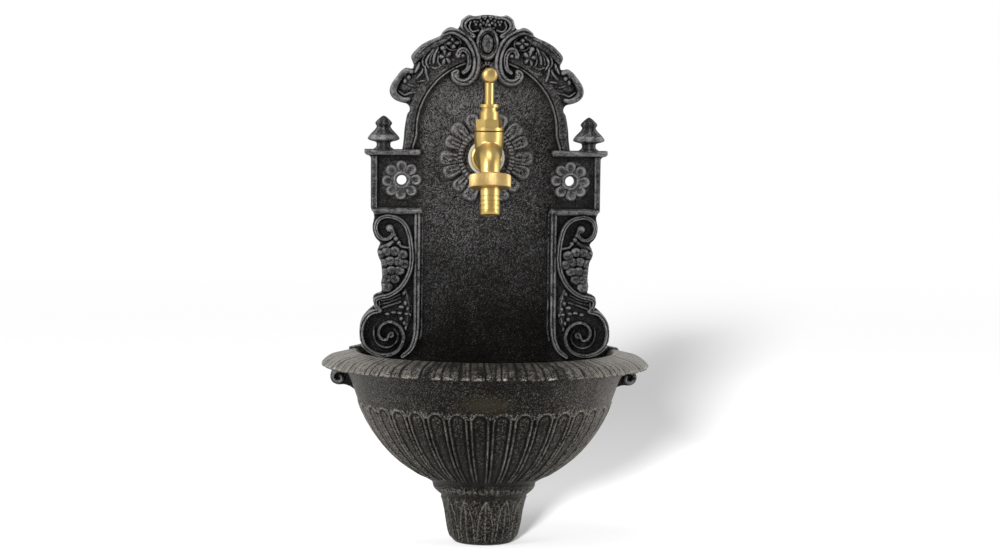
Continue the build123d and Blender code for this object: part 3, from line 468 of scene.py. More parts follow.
# %% Relief tools
class Relief:
    """Heights over the field, built up one ornament at a time."""

    def __init__(self, x, z):
        self.x = x
        self.z = z
        self.height = np.zeros(len(x))

    def lift(self, inside, height, where=slice(None)):
        """Raises the points that are inside to a height, if they are lower."""
        old = self.height[where]
        self.height[where] = np.where(inside, np.maximum(old, height), old)

    def near(self, path, reach):
        """The points in a box round a path."""
        low = path.min(axis=0) - reach
        high = path.max(axis=0) + reach
        wide = (self.x > low[0]) & (self.x < high[0])
        tall = (self.z > low[1]) & (self.z < high[1])
        return np.flatnonzero(wide & tall)

    def along(self, points, reach):
        """The points near a smooth path, their distance to it and their share of the way."""
        path = smooth_path(points)
        where = self.near(path, reach)
        return where, *along_path(path, self.x[where], self.z[where])

    def around(self, x, z, half_x, half_z, reach):
        """The points near an oval, and their offsets from its middle in half widths."""
        where = self.near(np.array([(x, z)]), reach)
        return where, (self.x[where] - x) / half_x, (self.z[where] - z) / half_z

    def ribbon(self, points, halves, rise, base=0.0, groove=0.0, flat=3):
        where, far, share = self.along(points, max(halves))
        half = np.interp(share, np.linspace(0, 1, len(halves)), halves)
        u = np.minimum(far / half, 1)
        body = np.sqrt(1 - u ** flat) - groove * np.exp(-(u / 0.25) ** 2)
        self.lift(far < half, base + rise * body, where)

    def leaf(self, points, half, rise, lines):
        where, far, share = self.along(points, half)
        width = half * np.sin(np.pi * np.clip(share, 0.06, 0.97)) ** 0.6
        u = np.minimum(far / width, 1)
        flutes = 0.78 + 0.22 * np.cos(2 * np.pi * lines * u)
        self.lift(far < width, rise * np.sqrt(1 - u ** 2.5) * flutes, where)

    def dome(self, x, z, half_x, half_z, rise, base=0.0, dimple=0.0, flat=2.4):
        where, dx, dz = self.around(x, z, half_x, half_z, max(half_x, half_z))
        u = np.hypot(dx, dz)
        body = np.sqrt(1 - np.minimum(u, 1) ** flat) - dimple * np.exp(-(u / 0.38) ** 2)
        self.lift(u < 1, base + rise * body, where)

    def bud(self, x, z, half_x, half_z, rise, base, lobes, turned):
        """A lumpy flower: lobes round a sunk middle, with creases between them."""
        where, dx, dz = self.around(x, z, half_x, half_z, max(half_x, half_z) * 1.2)
        wave = np.cos(lobes * np.arctan2(dx, dz) + turned)
        u = np.hypot(dx, dz) / (1 + 0.16 * wave)
        body = np.sqrt(1 - np.minimum(u, 1) ** 3) * (0.80 + 0.20 * wave * np.minimum(1, 2 * u))
        self.lift(u < 1, base + rise * (body - 0.22 * np.exp(-(u / 0.3) ** 2)), where)

    def oval_ring(self, x, z, half_x, half_z, half, rise, base=0.0):
        where, dx, dz = self.around(x, z, half_x, half_z, max(half_x, half_z) + half)
        v = np.abs(np.hypot(dx, dz) - 1) * min(half_x, half_z) / half
        self.lift(v < 1, base + rise * np.sqrt(np.maximum(0, 1 - v ** 2)), where)

    def petals(self, x, z, count, inner, outer, rise):
        """A ring of shells: each has a rolled rim, a sunk cup and low ridges."""
        where, dx, dz = self.around(x, z, 1, 1, outer * 1.1)
        for k in range(count):
            turn = 2 * np.pi * (k + 0.10 * np.sin(3.1 * k)) / count
            size = 1 + 0.07 * np.sin(2.3 * k)
            along = (dx * np.sin(turn) + dz * np.cos(turn) - inner) / (outer - inner) / size
            aside = dx * np.cos(turn) - dz * np.sin(turn)
            across = aside / (np.pi * (inner + outer) / 2 / count * size * 1.04)
            across = across / (0.74 + 0.26 * np.sin(np.pi / 2 * np.clip(along / 0.6, 0, 1)))
            end = np.maximum(0, (along - 0.55) / 0.45)
            u = (np.abs(across) ** 2.4 + end ** 2.4) ** (1 / 2.4)
            lean = across + 0.2 * np.sin(1.7 * k)
            cup = np.exp(-((along - 0.62) / 0.16) ** 2 - (lean / 0.40) ** 2)
            ridges = 0.12 * np.cos(2 * np.pi * 1.6 * lean) * soft_step(0.7 - along, 0, 0.3)
            body = 0.54 + 0.42 * soft_step(along, 0.1, 0.8) - 0.36 * cup + ridges
            body = body * np.sqrt(soft_step(1 - u, 0, 0.36))
            self.lift((u < 1) & (along > -0.05), rise * body, where)

    def cups(self, x, z, count, ring, half, rise):
        """A ring of round petals: domed, with a raised outer rim and a groove towards the middle."""
        for k in range(count):
            turn = 2 * np.pi * (k + 0.08 * np.sin(5 * k)) / count
            where, dx, dz = self.around(x + ring * np.sin(turn), z + ring * np.cos(turn), half, half, half)
            u = np.hypot(dx, dz)
            far = np.hypot(self.x[where] - x, self.z[where] - z)
            outward = soft_step(far, ring - half * 0.5, ring + half * 0.6)
            aside = np.maximum(0, u ** 2 - ((far - ring) / half) ** 2)
            dimple = np.exp(-aside / 0.16) * soft_step(ring + 0.35 * half - far, 0, 0.6 * half)
            body = 0.68 + 0.36 * outward * np.exp(-((u - 0.62) / 0.28) ** 2) - 0.30 * dimple
            self.lift(u < 1, rise * body * soft_step(1 - u, 0, 0.3), where)


print("relief tools ready")

# %% [markdown]
# The outline is read off the photograph as a few dozen points for the left half: the crest's
# lobes, the shoulder with its cornice, the scroll bracket, the ear behind the bowl and the part
# that the bowl hides. Mirrored, it makes one closed loop.

# %% Outline of the plate
CREST_EDGE = [
    (0, 132.3), (-4.4, 132), (-10.8, 131), (-14.8, 132), (-18, 130.4), (-20.4, 128),
    (-21.6, 124), (-24, 120.8), (-28.4, 122.2), (-32.4, 121.2), (-35.6, 118.4),
    (-37.2, 115.6), (-42, 113.2), (-46.8, 111.2), (-52.4, 108), (-57.2, 103.6), (-60, 100),
    (-60.4, 97.6), (-59.2, 94.4), (-58.4, 92), (-59.2, 89.2), (-62, 89.2), (-64.8, 89.6),
    (-68.4, 87.2), (-71.6, 83.2), (-75.6, 77.6), (-77.2, 73.6), (-77.4, 70.4),
    (-76.4, 67.2), (-73.2, 64), (-68.4, 62), (-63.6, 60.8), (-61.4, 58), (-61.6, 55),
    (-63.4, 52), (-65.2, 42), (-65.8, 34), (-66.6, 27), (-67, 24.5)]
CORNICE_EDGE = [
    (-97.3, 24.5), (-97.3, 21.6), (-96, 20.2), (-93.4, 19.2), (-92.2, 17.6), (-92, -22),
    (-91.4, -24.4)]
BRACKET_EDGE = [
    (-90, -25.6), (-89.2, -30.4), (-90.4, -36.8), (-90, -41.6), (-88, -46.4),
    (-84.4, -50.4), (-85.2, -53.6), (-86.4, -57.6), (-85.2, -62.4), (-83.6, -65.6),
    (-82.8, -72), (-82.4, -78.4), (-83.2, -83.2), (-82.8, -89.6), (-86.8, -91.6),
    (-89.2, -93.6), (-89.6, -97.6), (-88.8, -100.8), (-92.4, -104), (-97.2, -109.6),
    (-99.6, -115.2), (-100.4, -121.6), (-100, -128), (-98.4, -132), (-102.8, -133.6),
    (-108.4, -134.8)]
EAR_EDGE = [
    (-110, -142), (-112.5, -149.5), (-117, -151.2), (-121.5, -153), (-123.6, -158),
    (-121.8, -162.6), (-117.5, -164.6), (-112, -164.6), (-106, -167), (-99, -173)]
HIDDEN_EDGE = [(-92, -180), (-80, -200), (-61, -220), (-36, -236.5), (-30, -239)]

left_edge = np.vstack([
    smooth_path(CREST_EDGE, 4), CORNICE_EDGE, smooth_path(BRACKET_EDGE, 4),
    smooth_path(EAR_EDGE, 4), HIDDEN_EDGE])
right_edge = left_edge[:0:-1] * (-1, 1)
PLATE_LOOP = np.vstack([left_edge, right_edge])
print("plate outline has", len(PLATE_LOOP), "points")

# %% [markdown]
# A casting with a modelled face starts as a flat grid. Faces outside the outline go, the border
# is pulled onto the outline, the face is lifted by the relief, and the border is extruded back
# and closed. A blurred copy of the heights tells which points stand proud and which lie deep;
# the deep ones get darker, as black paint left there and as painted shade.

# %% Wear and finished pieces
WEAR_MM = 1.0
HOLLOW_MM = 1.6


def blurred(heights, cells):
    """A soft copy of a grid of heights."""
    soft = heights
    for axis in (0, 1):
        for repeat in range(2):
            pad = [(0, 0), (0, 0)]
            pad[axis] = (cells + 1, cells)
            total = np.cumsum(np.pad(soft, pad, mode="edge"), axis=axis)
            size = 2 * cells + 1
            high = np.take(total, range(size, total.shape[axis]), axis=axis)
            low = np.take(total, range(0, total.shape[axis] - size), axis=axis)
            soft = (high - low) / size
    return soft


def cast_noise(shape, cells, seed):
    """A smooth random swelling, as sand leaves on a casting."""
    soft = blurred(np.random.default_rng(seed).standard_normal(shape), cells)
    return soft / soft.std()


def rubbed_and_deep(heights, raised):
    """How much each point stands over its surroundings, and how much it lies under them; the finish darkens
    the deep points as black paint left there and as painted shade.
    """
    fine = heights - blurred(heights, 1)
    broad = heights - blurred(heights, 4)
    wear = 0.06 * raised + (0.60 * fine + 0.13 * broad) / WEAR_MM
    deep = -(0.7 * fine + 0.25 * broad) / HOLLOW_MM
    return np.clip(wear, 0, 1), np.clip(deep, 0, 1)


def store_rub(bm, verts, wear, hollow_paint_and_shade):
    """Writes the wear and the hollow darkening, paint and painted shade, of each vertex."""
    for layer_name, values in (("wear", wear), ("hollow_paint_and_shade", hollow_paint_and_shade)):
        layer = bm.verts.layers.float.get(layer_name) or bm.verts.layers.float.new(layer_name)
        for vert, value in zip(verts, values):
            vert[layer] = value


def finish_object(bm, name, nodes, slot, body="fountain", sharp=50, in_mm=True):
    """Keeps a bmesh as a piece that rides on a body and stands for CAD nodes."""
    if in_mm:
        bmesh.ops.recalc_face_normals(bm, faces=bm.faces)
        bmesh.ops.scale(bm, verts=bm.verts, vec=(MM, MM, MM))
    mesh = bpy.data.meshes.new(name)
    bm.to_mesh(mesh)
    bm.free()
    mesh.shade_smooth()
    mesh.set_sharp_from_angle(angle=math.radians(sharp))
    mesh.materials.append(FINISH_OF[slot])
    piece = bpy.data.objects.new(name, mesh)
    scene.collection.objects.link(piece)
    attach(piece, body)
    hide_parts(*nodes)
    print(name, "has", len(mesh.polygons), "faces")


print("wear shows from", WEAR_MM, "mm of relief")

# %% [markdown]
# Grids are fine where the ornament is and coarse elsewhere. Both halves of the fountain match, so
# the outline and the relief are worked out for the left half of a grid and mirrored.

# %% Grids
def grid_lines(*stops):
    """Grid lines through (place, step to the next place) stops."""
    parts = []
    for (low, step), (high, unused) in zip(stops[:-1], stops[1:]):
        count = max(1, round(abs(high - low) / step))
        parts.append(np.linspace(low, high, count, endpoint=False))
    return np.concatenate(parts + [[stops[-1][0]]])


def mirrored_lines(*stops):
    """Grid lines from the left end to the middle, and the same to the right."""
    left = grid_lines(*stops)
    return np.concatenate([left, -left[-2::-1]])


def blank_grid(columns, rows):
    """A flat grid with wear and hollow-darkening layers, and the column and row of each vertex."""
    bm = bmesh.new()
    bmesh.ops.create_grid(bm, x_segments=columns, y_segments=rows, size=0.5)
    for layer_name in ("wear", "hollow_paint_and_shade"):
        bm.verts.layers.float.new(layer_name)
    bm.verts.ensure_lookup_table()
    flat = np.array([vert.co[:2] for vert in bm.verts]) + 0.5
    column = np.rint(flat[:, 0] * columns).astype(int)
    row = np.rint(flat[:, 1] * rows).astype(int)
    return bm, column, row


def open_edges(bm):
    return [edge for edge in bm.edges if edge.is_boundary]


def verts_of(made):
    """The vertices among what an operator made."""
    return [part for part in made["geom"] if isinstance(part, bmesh.types.BMVert)]


def both_halves(xs, zs, measure):
    """A measure of the left half of a grid, mirrored to the right."""
    half = (len(xs) + 1) // 2
    grid_x, grid_z = np.meshgrid(xs[:half], zs)
    left = measure(grid_x.ravel(), grid_z.ravel()).reshape(grid_x.shape)
    return np.hstack([left, left[:, len(xs) - half - 1::-1]])


print("a line of 3 mm in steps of 1 mm has", len(grid_lines((0, 1), (3, 0))), "grid lines")

# %% [markdown]
# The sheet itself: cut out, pulled to its outline and closed at the back.

# %% Castings with a modelled face
FIELD_Y = -13.0
EDGE_ROUND = 1.6
TINY = 0.02


def pull_to_edge(bm, xs, gap, relief, edge_round):
    """Moves the border's vertices down the slope of the gap until they lie on the outline."""
    border = [vert for vert in bm.verts if vert.is_boundary]
    x = np.array([vert.co.x for vert in border])
    z = np.array([vert.co.z for vert in border])
    on_edge = np.abs(gap(-np.abs(x), z)) < 1.6 * max(np.diff(xs).max() * 0.5, 0.7)
    for repeat in range(3):
        here = gap(-np.abs(x), z)
        slope_x = (gap(-np.abs(x + TINY), z) - here) / TINY
        slope_z = (gap(-np.abs(x), z + TINY) - here) / TINY
        steep = np.maximum(slope_x ** 2 + slope_z ** 2, 0.25)
        x = np.where(on_edge, x - here * slope_x / steep, x)
        z = np.where(on_edge, z - here * slope_z / steep, z)
    low = relief(-np.abs(x), z) - edge_round
    for vert, px, pz, h, moved in zip(border, x, z, low, on_edge):
        vert.co = (px, FIELD_Y - h if moved else vert.co.y, pz)


def cast_sheet(xs, zs, gap, relief, back_y, edge_round=EDGE_ROUND):
    """A closed casting: gap says how far outside it a point is, relief how high it stands."""
    bm, column, row = blank_grid(len(xs) - 1, len(zs) - 1)
    outside = both_halves(xs, zs, gap)
    high = both_halves(xs, zs, relief)
    raised = soft_step(high, 0.6, 2.6)
    fine_noise = 0.11 * cast_noise(high.shape, 2, 5) + 0.20 * cast_noise(high.shape, 6, 6)
    depth = np.clip(edge_round + outside, 0, edge_round)
    rounded = high + fine_noise * raised - (edge_round - np.sqrt(edge_round ** 2 - depth ** 2))
    wear, hollow_paint_and_shade = rubbed_and_deep(np.where(outside > 0, 3.0, rounded), raised)
    for vert, x, z, h in zip(bm.verts, xs[column], zs[row], rounded[row, column]):
        vert.co = (x, FIELD_Y - h, z)
    store_rub(bm, bm.verts, wear[row, column], hollow_paint_and_shade[row, column])
    far = outside[row, column]
    gone = [face for face in bm.faces if sum(far[vert.index] for vert in face.verts) > 0]
    bmesh.ops.delete(bm, geom=gone, context="FACES")
    pull_to_edge(bm, xs, gap, relief, edge_round)
    back = verts_of(bmesh.ops.extrude_edge_only(bm, edges=open_edges(bm)))
    for vert in back:
        vert.co.y = back_y
    plain = np.zeros(len(back))
    store_rub(bm, back, plain, plain)
    bmesh.ops.triangle_fill(bm, edges=open_edges(bm), normal=(0, 1, 0))
    return bm


print("edges are rounded by", EDGE_ROUND, "mm")

# %% [markdown]
# Frame, shoulders and rails. The arch has a rounded moulding with a beaded inner line, and it
# stands on a cornice over each shoulder. Below the shoulders two rails frame the field, and at
# their feet they curl under the lower scrolls.

# %% Arch, shoulders and rails
ARCH_IN = 54.5
ARCH_OUT = 65.5
BEAD_PITCH = 3.2


def arch_and_shoulders(art):
    x, z = art.x, art.z
    above = z > ARCH_Z
    reach = np.where(above, np.hypot(x, z - ARCH_Z), -x)
    travel = np.where(above, np.arctan2(z - ARCH_Z, -x) * 60, z - ARCH_Z)
    flare = 3.0 * soft_step(ARCH_Z - z, 2, 16)
    shift = reach - ARCH_IN - flare
    on_arch = (z > 24.0) & (reach < ARCH_OUT + 3)
    away = soft_step(-x, 9, 13)
    frame_band = 3.4 * bar(shift, 0.0, ARCH_OUT + 4 - ARCH_IN - flare, 1.6)
    swell = np.abs(np.cos(np.pi * travel / BEAD_PITCH)) ** 0.5
    line = 3.2 + (0.7 + 0.7 * swell) * np.exp(-((shift - 1.5) / 0.8) ** 2)
    hump = 3.2 + 1.3 * np.sqrt(np.maximum(0, 1 - ((shift - 6.4) / 3.7) ** 2))
    groove = np.exp(-((shift - 2.8) / 0.45) ** 2)
    moulded = np.maximum(line, hump) - 1.1 * groove
    moulded = np.where((shift > 0.5) & (shift < 10.5), moulded, frame_band)
    art.lift(on_arch, np.minimum(moulded, frame_band * 1.6) * away)

    block = bar(x, -92.2, -51.2, 0.9) * bar(z, -24.2, 20, 0.9)
    recess = bar(x, -87.6, -49.0, 1.3) * bar(z, -22.6, 20.4, 1.3)
    art.lift(block > 0, 2.8 * block - 2.7 * recess)
    art.ribbon([(-97.5, 22.3), (-76, 22.3), (-54.8, 22.3)], (2.7, 2.7), 6.2, 0, 0, 4)
    art.ribbon([(-91, -25), (-70, -25), (-53.2, -25)], (2.5, 2.5), 4.8)
    art.ribbon([(-54.7, -25), (-54.7, -60), (-54.7, -100), (-54.9, -118), (-56.2, -128),
                (-59.6, -136), (-66, -141.4)], (2.6, 2.6, 2.6, 2.4, 1.8), 4.0, 0, 0.24, 6)
    art.ribbon([(-50.9, -26), (-50.9, -70), (-50.9, -116), (-52, -128)], (0.9, 0.9), 1.5)
    art.dome(-SCREW_X, 0, 9.4, 9.4, 2.4, flat=8)
    art.cups(-SCREW_X, 0, 8, 11.4, 5.2, 4.2)
    art.oval_ring(-SCREW_X, 0, 5.8, 5.8, 1.8, 3.2)


print("arch from", ARCH_IN, "to", ARCH_OUT, "mm")

# %% [markdown]
# The brackets beside the field are scroll work: an upper volute runs into a long S that carries
# a bunch of grapes, and ends over a small sunk panel. Under it the lower volute winds in two
# turns, with small leaves beside it. The ear behind the bowl is a short curl.

# %% Scroll brackets
S_SCROLL = [
    (-76.6, -38.4), (-74.2, -41.4), (-76.2, -45.8), (-81, -47.4), (-85.8, -44.4),
    (-87.9, -38.4), (-86.2, -32.4), (-81.2, -29.4), (-75, -29.4), (-68.6, -31.9),
    (-63.6, -37.5), (-60.7, -46), (-59.4, -56), (-59.1, -64), (-60.6, -73), (-64.5, -81.5),
    (-70, -88), (-77, -92.3), (-83.6, -94), (-87.4, -95.6), (-88, -99.4), (-85.4, -103.8)]
LOWER_SCROLL = [
    (-84.5, -104.6), (-91.6, -106.6), (-96.6, -111.8), (-98.9, -118), (-99.2, -125.5),
    (-96.6, -133.2), (-89.8, -138.6), (-80.6, -140.6), (-71.4, -138), (-66.2, -131.4),
    (-65.4, -123.8), (-68.7, -117.1), (-75.6, -113.8), (-82.4, -116), (-85.2, -122),
    (-83.2, -127), (-79.4, -128.2), (-77.4, -125.8), (-76.6, -123.2), (-74.4, -122.4),
    (-73.6, -124.6)]
GRAPES = [
    (-84.6, -59.6), (-79.2, -57.4), (-72.9, -57.0), (-66.4, -59.6), (-82.2, -66.4), (-76.2, -64.6),
    (-69.6, -65.0), (-64.6, -67.2), (-81.4, -73.6), (-75.4, -72.4), (-69.0, -72.6), (-78.8, -79.0),
    (-72.8, -79.0)]
LEAF_TIPS = [
    (-65.1, -90.6, 1.9, 2.3), (-63.9, -98.6, 1.7, 2.4), (-67.2, -101.8, 2.6, 1.7),
    (-61.8, -103.3, 1.5, 2.2), (-62.7, -107.4, 2.0, 1.6), (-59.8, -108.2, 1.2, 2.0),
    (-68.4, -106.6, 2.3, 1.7), (-73.0, -106.2, 2.5, 1.5), (-78.2, -107.4, 2.6, 1.4),
    (-67.2, -111.2, 1.7, 2.1), (-64.6, -114.8, 1.5, 2.3), (-63.4, -119.0, 1.2, 2.4)]


def scroll_bracket(art):
    art.ribbon(S_SCROLL, (1.3, 1.4, 1.6, 1.8, 1.9, 1.9, 1.9, 1.8, 1.6), 5.4, 0, 0.26, 6)
    art.dome(-76.8, -38.6, 3.3, 3.3, 6.2)
    for x, z, size in ((-73.4, -43.8, 1.8), (-72.0, -47.0, 2.2), (-69.4, -50.2, 1.8)):
        art.dome(x, z, size, size, 4.6)
    art.ribbon([(-69.6, -50.2), (-66.8, -53.2), (-60.4, -54.2)], (0.9, 1.1, 0.9), 3.8)
    art.ribbon([(-84.6, -54.4), (-79, -52.6), (-74.6, -49.4)], (1.6, 2.2, 1.6), 3.4)
    for x, z in GRAPES:
        art.dome(x, z, 4.3, 3.7, 2.4, 2.6, 0.24)
    art.dome(-79.0, -85.4, 4.9, 4.2, 3.0, 2.2, 0.24)
    art.ribbon([(-84.6, -96.8), (-77, -95.6), (-68, -91.4)], (0.7, 0.6), 2.8)
    art.ribbon([(-83.4, -99.6), (-76.4, -97.8), (-68, -94.4)], (0.6, 0.5), 1.8)
    art.ribbon([(-82.4, -102.6), (-76, -100.4), (-67.6, -97.6)], (0.8, 0.6), 2.6)
    art.ribbon([(-84.4, -96.6), (-85, -100), (-84.2, -103.6)], (0.7, 0.7), 3.4)
    for x, z, half_x, half_z in LEAF_TIPS:
        art.dome(x, z, 0.85 * half_x, 0.85 * half_z, 3.0, 0.4)
    art.leaf([(-64.0, -88), (-61.2, -98), (-61.2, -108), (-63.6, -120)], 2.6, 2.4, 1.0)
    art.ribbon(LOWER_SCROLL, (2.0, 2.3, 2.2, 1.6, 1.3, 1.2, 1.1, 1.0, 0.9), 5.8, 0, 0.24, 5)
    art.ribbon([(-88.6, -118), (-88.8, -125), (-85.4, -132), (-78, -134.4), (-71.6, -131), (-69.6, -124.6),
                (-72.4, -119.6)], (0.5, 0.7, 0.6, 0.5), 2.2)
    art.dome(-75.0, -125.4, 1.7, 1.7, 5.0)
    art.ribbon([(-107, -151), (-113.4, -152.2), (-119.6, -154), (-121.6, -158.4),
                (-118.4, -162), (-114.4, -160.4), (-115, -157.4)], (1.0, 1.7, 1.8, 1.2), 3.2)


print("bracket has", len(GRAPES), "grapes")

# %% [markdown]
# The crest is acanthus work over the arch. An oval boss sits between two C-scrolls that curl on
# the arch, small buds close the top, and fronds sweep out to a curled volute at each end.

# %% Crest
CARTOUCHE_Z = 109.2
C_SCROLL = [
    (-35.6, 116.6), (-30, 118.8), (-24.3, 118.0), (-16.6, 113.3), (-11.8, 106.4),
    (-9.2, 98.6), (-8.9, 90.6), (-11.2, 83.2), (-15.9, 79), (-21.3, 78.6), (-25.6, 81.4),
    (-26.6, 85), (-24.6, 86.6)]
INNER_SCROLL = [
    (-23.6, 100.2), (-21.8, 103.6), (-18.2, 104), (-15.2, 100.5), (-14.3, 95),
    (-15.6, 89.2), (-19, 86)]
EAR_ROLL = [
    (-60.6, 86.4), (-64.2, 87.0), (-69.4, 82.6), (-73.6, 76.4), (-74.6, 70.8), (-71.8, 66.2),
    (-66.9, 64.2), (-62.6, 64.6)]
FRINGE = [
    ([(-43.3, 103.9), (-47.5, 98.1), (-48.8, 93.3), (-46.7, 89.4)], 1.2, 5.6),
    ([(-47.6, 102.6), (-51.0, 97.8), (-51.6, 93.4), (-49.4, 89.0)], 1.0, 4.8),
    ([(-39.6, 105.4), (-42.4, 98.6), (-43.0, 93.6)], 1.5, 5.4),
    ([(-41.8, 104.4), (-45.2, 98.4), (-46.0, 93.0)], 1.0, 5.0),
    ([(-36.4, 91.4), (-41.4, 89.4), (-45.6, 90.6)], 1.2, 4.6),
    ([(-49.4, 90.6), (-48.8, 85.5), (-47.0, 79.9)], 1.3, 5.4),
    ([(-43.8, 85.0), (-37.8, 86.3), (-33.6, 88.8), (-29.8, 92.6)], 1.1, 4.4),
    ([(-46.0, 80.6), (-41.0, 83.4), (-35.6, 86.0)], 0.8, 4.0),
    ([(-55.6, 78.4), (-50.4, 79.4)], 1.1, 5.2),
    ([(-56.2, 81.4), (-52.5, 85.5), (-51.4, 88.6)], 1.1, 5.0),
    ([(-57.6, 86.0), (-55.4, 89.6), (-54.2, 93.4)], 1.4, 4.4),
    ([(-70.4, 70.9), (-65.9, 67.9), (-61.7, 69.2), (-57.6, 69.9)], 1.0, 4.6),
    ([(-63.0, 76.4), (-58.4, 75.0), (-54.6, 75.4)], 0.9, 4.2)]


def crest(art):
    ground = (art.z > 44) & (np.hypot(art.x, art.z - ARCH_Z) > ARCH_OUT - 1.5)
    art.lift(ground, 2.2)
    art.ribbon([(-58.2, 96.6), (-55.2, 100.4), (-50.4, 104.2), (-44.2, 108.6), (-37.2, 112.2),
                (-31.6, 114.6)], (3.4, 4.6, 5.0, 5.0, 4.4, 3.4), 4.6, 2.0, 0.10, 2.6)
    art.ribbon([(-56.8, 98.6), (-51.6, 104.4), (-44.6, 109.6), (-36.8, 113.4)], (0.5, 0.6, 0.5), 4.8, 2.2)
    art.ribbon([(-57.8, 94.2), (-55.2, 97.2), (-51.8, 99.6)], (1.2, 1.6, 1.0), 3.8, 2.2)
    art.dome(-44.6, 96.6, 7.4, 9.4, 1.8, 2.2)
    art.dome(-28.6, 118.4, 6.0, 3.8, 3.6, 2.2)
    for path, half, rise in FRINGE:
        art.ribbon(path, (half * 0.6, half, half * 0.7), rise - 1.2, 1.6)
    art.ribbon(C_SCROLL, (2.2, 3.0, 3.4, 3.5, 3.5, 3.4, 3.2, 2.9, 2.4), 6.6, 2.2, 0.26, 4)
    art.ribbon(INNER_SCROLL, (2.2, 2.4, 2.2, 2.0, 1.6), 5.4, 2.2, 0.14, 4)
    art.bud(-21.6, 100.2, 3.9, 3.7, 6.4, 2.0, 3, 0.6)
    art.dome(-25.2, 83.2, 3.4, 3.6, 6.2, 2.0)
    art.oval_ring(-27.6, 109.2, 6.3, 5.4, 0.7, 3.0, 2.0)
    art.bud(-27.6, 109.4, 5.2, 4.3, 6.6, 1.8, 4, 0.4)
    art.bud(-33.6, 98.2, 4.9, 6.6, 6.6, 1.8, 5, 1.1)
    art.dome(-35.4, 105.2, 2.6, 2.4, 5.2, 1.8)
    art.ribbon([(-38.9, 102.4), (-39.4, 95.0), (-36.6, 91.4), (-31.6, 91.8)], (0.7, 0.9, 0.8), 3.2, 2.0)
    art.ribbon([(-50.4, 86), (-56.0, 81.2), (-62, 76.6), (-66.5, 74.6)], (3.5, 5, 5.5, 4), 2.2, 1.6, 0, 2.2)
    art.ribbon(EAR_ROLL, (2.0, 2.8, 3.2, 3.2, 2.8, 2.0), 5.4, 1.6, 0.0, 2.6)
    art.bud(-64.8, 81.6, 3.6, 4.8, 5.6, 1.4, 3, 2.0)
    art.ribbon([(-7.0, 130.2), (-14.2, 130.0), (-18.8, 126.4), (-19.2, 121.6), (-15.4, 117.6),
                (-11.6, 115.2)], (1.8, 2.5, 2.8, 2.6, 2.0), 5.2, 2.2, 0.20, 4)
    art.ribbon([(-13.6, 126.6), (-14.8, 122.4), (-12.4, 118.8), (-7.4, 119.8)], (0.8, 1.0, 0.8), 4.6, 2.0)
    for x, z, half_x, half_z in ((0, 125.0, 2.6, 3.6), (-5.0, 125.8, 2.6, 3.2), (-9.6, 126.0, 2.4, 2.8),
                                 (-2.6, 129.8, 2.2, 1.9), (-7.6, 129.6, 2.0, 1.7), (-3.4, 121.4, 2.4, 1.4)):
        art.bud(x, z, half_x, half_z, 4.2, 2.2, 3, x)
    art.oval_ring(0, CARTOUCHE_Z, 7.9, 11.3, 1.5, 4.4, 2.2)
    art.oval_ring(0, CARTOUCHE_Z, 5.9, 9.3, 0.7, 3.4, 2.0)
    art.dome(0, CARTOUCHE_Z, 5.0, 8.2, 5.6, 2.0, 0.0, 4)
    art.bud(0, 94.8, 2.6, 3.6, 3.4, 2.0, 3, 0)
    art.bud(-4.4, 92.4, 2.2, 2.8, 2.8, 2.0, 3, 1)
    art.dome(0, 88.6, 1.8, 2.2, 2.6, 0.6)


print("crest scroll has", len(C_SCROLL), "points")

# %% [markdown]
# The plate is made in two castings that meet on the springing line of the arch, where nothing
# shows, so that each keeps a fine grid where the ornament is and a coarse one on the field.

# %% Plate, upper and lower part
WEB_BACK_Y = -7.0
TAP_HOLE_R = 10.6
SCREW_HOLE_R = 4.0
BOLT_X = 45.0
BOLT_Z = -175.0
BOLT_HOLE_R = 4.4
PLATE_NODES = ["back_plate"]


def plate_relief(x, z):
    art = Relief(x, z)
    arch_and_shoulders(art)
    scroll_bracket(art)
    crest(art)
    return art.height


def plate_gap(x, z):
    gap = outside_by(PLATE_LOOP, x, z)
    for hole_x, hole_z, radius in ((0, TAP_Z, TAP_HOLE_R), (-SCREW_X, 0, SCREW_HOLE_R),
                                   (-BOLT_X, BOLT_Z, BOLT_HOLE_R)):
        gap = np.maximum(gap, radius - np.hypot(x - hole_x, z - hole_z))
    return gap


upper_x = mirrored_lines((-80, 0.55), (0, 0))
upper_z = grid_lines((ARCH_Z, 0.55), (134, 0))
lower_x = mirrored_lines((-126, 0.9), (-106, 0.6), (-48, 1.6), (0, 0))
lower_z = grid_lines((-240, 3.0), (-172, 1.0), (-152, 0.6), (ARCH_Z, 0))
for name, xs, zs in (("plate_upper", upper_x, upper_z), ("plate_lower", lower_x, lower_z)):
    bm = cast_sheet(xs, zs, plate_gap, plate_relief, WEB_BACK_Y)
    finish_object(bm, name, PLATE_NODES, "plate_iron")

# %% [markdown]
# Behind, the plate is hollow: a flange runs round it and a wide pocket leaves room for the pipe.
# The flange is the outline with the pocket and the screw holes filled as one flat face, which
# is then extruded to its depth.

# %% Flange behind the plate
POCKET_HALF = 59.5
POCKET_LOW = -196.0
POCKET_TOP = ARCH_Z - 6
POCKET_R = 56.5
FLANGE_FRONT = WEB_BACK_Y - 0.2


def arc(x, z, radius, turns):
    """Points round a centre at some turns."""
    return np.column_stack([x + radius * np.cos(turns), z + radius * np.sin(turns)])


def flat_piece(loops, front_y, back_y):
    """A flat face between closed loops of points, extruded to its depth."""
    bm = bmesh.new()
    edges = []
    for points in loops:
        verts = [bm.verts.new((px, front_y, pz)) for px, pz in points]
        edges += [bm.edges.new(pair) for pair in zip(verts, verts[1:] + verts[:1])]
    bmesh.ops.triangle_fill(bm, edges=edges, normal=(0, -1, 0))
    made = bmesh.ops.extrude_face_region(bm, geom=bm.faces[:])
    bmesh.ops.translate(bm, verts=verts_of(made), vec=(0, back_y - front_y, 0))
    return bm


